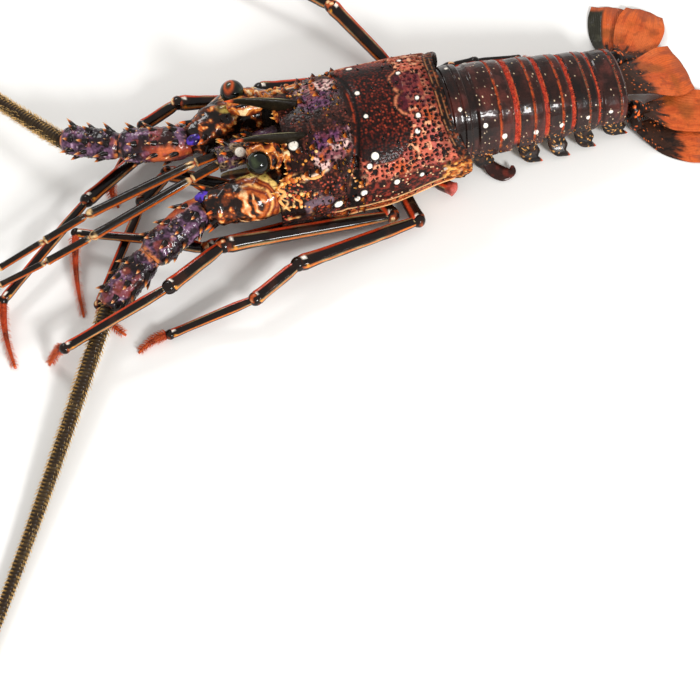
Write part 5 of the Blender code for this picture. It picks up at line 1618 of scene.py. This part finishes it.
def make_fan(base_material, material):
    end = TAIL_JOINTS[-1] + GAP
    telson = blade(row(end, 0, 19), TELSON_HEADING, TELSON_LENGTH, TELSON_BLADE, TELSON_REST, blade_paint(0.4), True)
    telson.make("telson_shell", material, "fan_blade", ["telson"])
    for word, (side, inner, outer) in FAN.items():
        root = row(end, side * 18, 15)
        block = Shape()
        knots = [root, root + row(3.5, side * 0.5, -1), root + row(6.5, side * 1.5, -2.5)]
        radii = np.interp(np.linspace(0, 1, 40), (0, 0.1, 0.5, 0.9, 1), (3.6, 5.0, 5.8, 5.2, 3.4))
        sweep = Sweep(curve(knots, 40), radii, 40, 1.15, (1, 0, 0), (0.9, side * 0.2, -0.4))
        near, _, number = cells(sweep.points, 3.0, 621)
        paint = lay(coat(sweep.points, BLACK), tone(232, 108, 48), rise_between(near, 0.4, 0.3) * (number > 0.35))
        add_tube(block, sweep.points + sweep.out * (0.4 * rise_between(near, 0.5, 0.2))[..., None], paint)
        for to, heading in ((root + row(9.2, side * 1.0, -3.4), inner), (root + row(5.5, side * 7.5, -9.5), outer)):
            turn = math.radians(heading)
            end_place = to + row(math.cos(turn), side * math.sin(turn), 0) * 5.0
            arm = curve([root + row(2.0, side, -1.5), mix(root, to, 0.6), to, end_place], 40)
            arm = Sweep(arm, np.interp(np.linspace(0, 1, 40), (0, 0.3, 0.7, 1), (3.0, 3.6, 3.0, 0.8)), 36, 1.8)
            near, _, number = cells(arm.points, 2.4, 622)
            paint = lay(coat(arm.points, tone(34, 20, 14)), tone(226, 100, 44), rise_between(near, 0.36, 0.26) * (number > 0.4))
            add_tube(block, arm.points, paint)
        block.make("uropod_base_shell_" + word, base_material, "tail_shell", ["uropod_base_" + word])
        inner_root = root + row(9.2, side * 1.0, -3.4)
        outer_root = root + row(5.5, side * 7.5, -9.5)
        vane = blade(inner_root, side * inner, INNER_LENGTH, INNER_BLADE, INNER_REST, blade_paint(0.3))
        vane.make("uropod_inner_shell_" + word, material, "fan_blade", ["uropod_inner_" + word])
        outer_paint = blade_paint(0.3, True) if side > 0 else blade_paint(0.62)
        vane = blade(outer_root, side * outer, OUTER_LENGTH, OUTER_BLADE, OUTER_REST, outer_paint)
        vane.make("uropod_outer_shell_" + word, material, "fan_blade", ["uropod_outer_" + word])


def make_tail(material, hair):
    hairs = Shape()
    for index in range(len(TAIL_JOINTS) - 1):
        make_tail_ring(index, material, hairs)
    hairs.make("tail_setae", hair, "tail_shell", patches=True)


# Studio: floor, lights, camera

CAMERA_PLACE = (-0.09995, -0.37318, 0.60541)
CAMERA_ELEVATION = 67.0
CAMERA_TURN = 14.0
CAMERA_LENS = 60.0


def make_floor():
    mesh = bpy.data.meshes.new("floor")
    size = 40.0
    mesh.from_pydata([(-size, -size, 0), (size, -size, 0), (size, size, 0), (-size, size, 0)], [], [(0, 1, 2, 3)])
    material = bpy.data.materials.new("studio_floor")
    material.use_nodes = True
    shader = material.node_tree.nodes["Principled BSDF"]
    shader.inputs["Base Color"].default_value = (0.93, 0.92, 0.9, 1.0)
    shader.inputs["Roughness"].default_value = 0.6
    mesh.materials.append(material)
    floor = bpy.data.objects.new("floor", mesh)
    bpy.context.scene.collection.objects.link(floor)
    floor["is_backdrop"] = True


def area_light(name, place, target, size, power, colour=(1, 1, 1)):
    light = bpy.data.lights.new(name, "AREA")
    light.shape = "RECTANGLE"
    light.size, light.size_y = size
    light.energy = power
    light.color = colour
    holder = bpy.data.objects.new(name, light)
    bpy.context.scene.collection.objects.link(holder)
    holder.location = place
    holder.rotation_euler = (Vector(target) - Vector(place)).to_track_quat("-Z", "Y").to_euler()


def make_studio():
    make_floor()
    world = bpy.data.worlds.new("studio")
    world.use_nodes = True
    background = world.node_tree.nodes["Background"]
    background.inputs["Color"].default_value = (1.0, 0.985, 0.96, 1.0)
    background.inputs["Strength"].default_value = 0.66
    bpy.context.scene.world = world
    area_light("key", (0.5, -1.35, 0.9), (0, 0, 0.02), (0.38, 0.3), 24.0)
    area_light("back", (-0.35, 1.25, 1.1), (-0.1, 0.05, 0), (0.6, 0.3), 9.0)


def make_camera():
    camera = bpy.data.cameras.new("camera")
    camera.lens = CAMERA_LENS
    camera.sensor_width = 36.0
    camera.clip_start = 0.01
    holder = bpy.data.objects.new("camera", camera)
    bpy.context.scene.collection.objects.link(holder)
    holder.location = CAMERA_PLACE
    holder.rotation_euler = (math.radians(90 - CAMERA_ELEVATION), 0, math.radians(-CAMERA_TURN))
    bpy.context.scene.camera = holder


def make_model():
    shell = shell_material("lobster_shell", 0.6, 0.2, 0.06, 0.3, specular=0.09)
    ring_shell = shell_material("ring_shell", 0.55, 0.2, 0.28, 0.3, specular=0.12)
    thorn_shell = shell_material("thorn_shell", 0.5, 0.14, 0.25, 0.1, specular=0.12)
    purple = shell_material("purple_shell", 0.55, 0.16, 0.25, 0.45, specular=0.14)
    smooth_shell = shell_material("smooth_shell", 0.5, 0.12, 0.3, 0.15, specular=0.12)
    leg = shell_material("leg_shell", 0.5, 0.08, 0.3, 0.15, specular=0.1)
    fan = shell_material("fan_vane", 0.6, 0.4, 0.1, 0.15, 700.0, 0.12, 0.15)
    whip = shell_material("whip_shell", 0.7, 0.4, 0.06, 0.4, specular=0.12)
    eye = shell_material("eye_glass", 0.3, 0.02, 0.5, 0.02, specular=0.1)
    belly = shell_material("belly_shell", 0.6, 0.35, 0.2, 0.3)
    hair = shell_material("setae", 0.6, 0.4, 0.1, 0.05)
    make_carapace(shell)
    carapace_thorns(thorn_shell)
    make_horns(shell)
    make_head_front(purple)
    make_jaw_feet(belly)
    make_eyes(smooth_shell, eye)
    make_antennae(smooth_shell, purple, whip, hair)
    make_antennules(leg)
    make_legs(leg, hair)
    make_breastplate(belly)
    make_tail(ring_shell, hair)
    make_fan(shell, fan)


make_model()
make_studio()
make_camera()
bpy.context.scene.view_settings.view_transform = "Standard"

boxes = {"cad": CAD_BOX, "visual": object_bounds()}
{name: [list(corner) for corner in box] for name, box in boxes.items()}
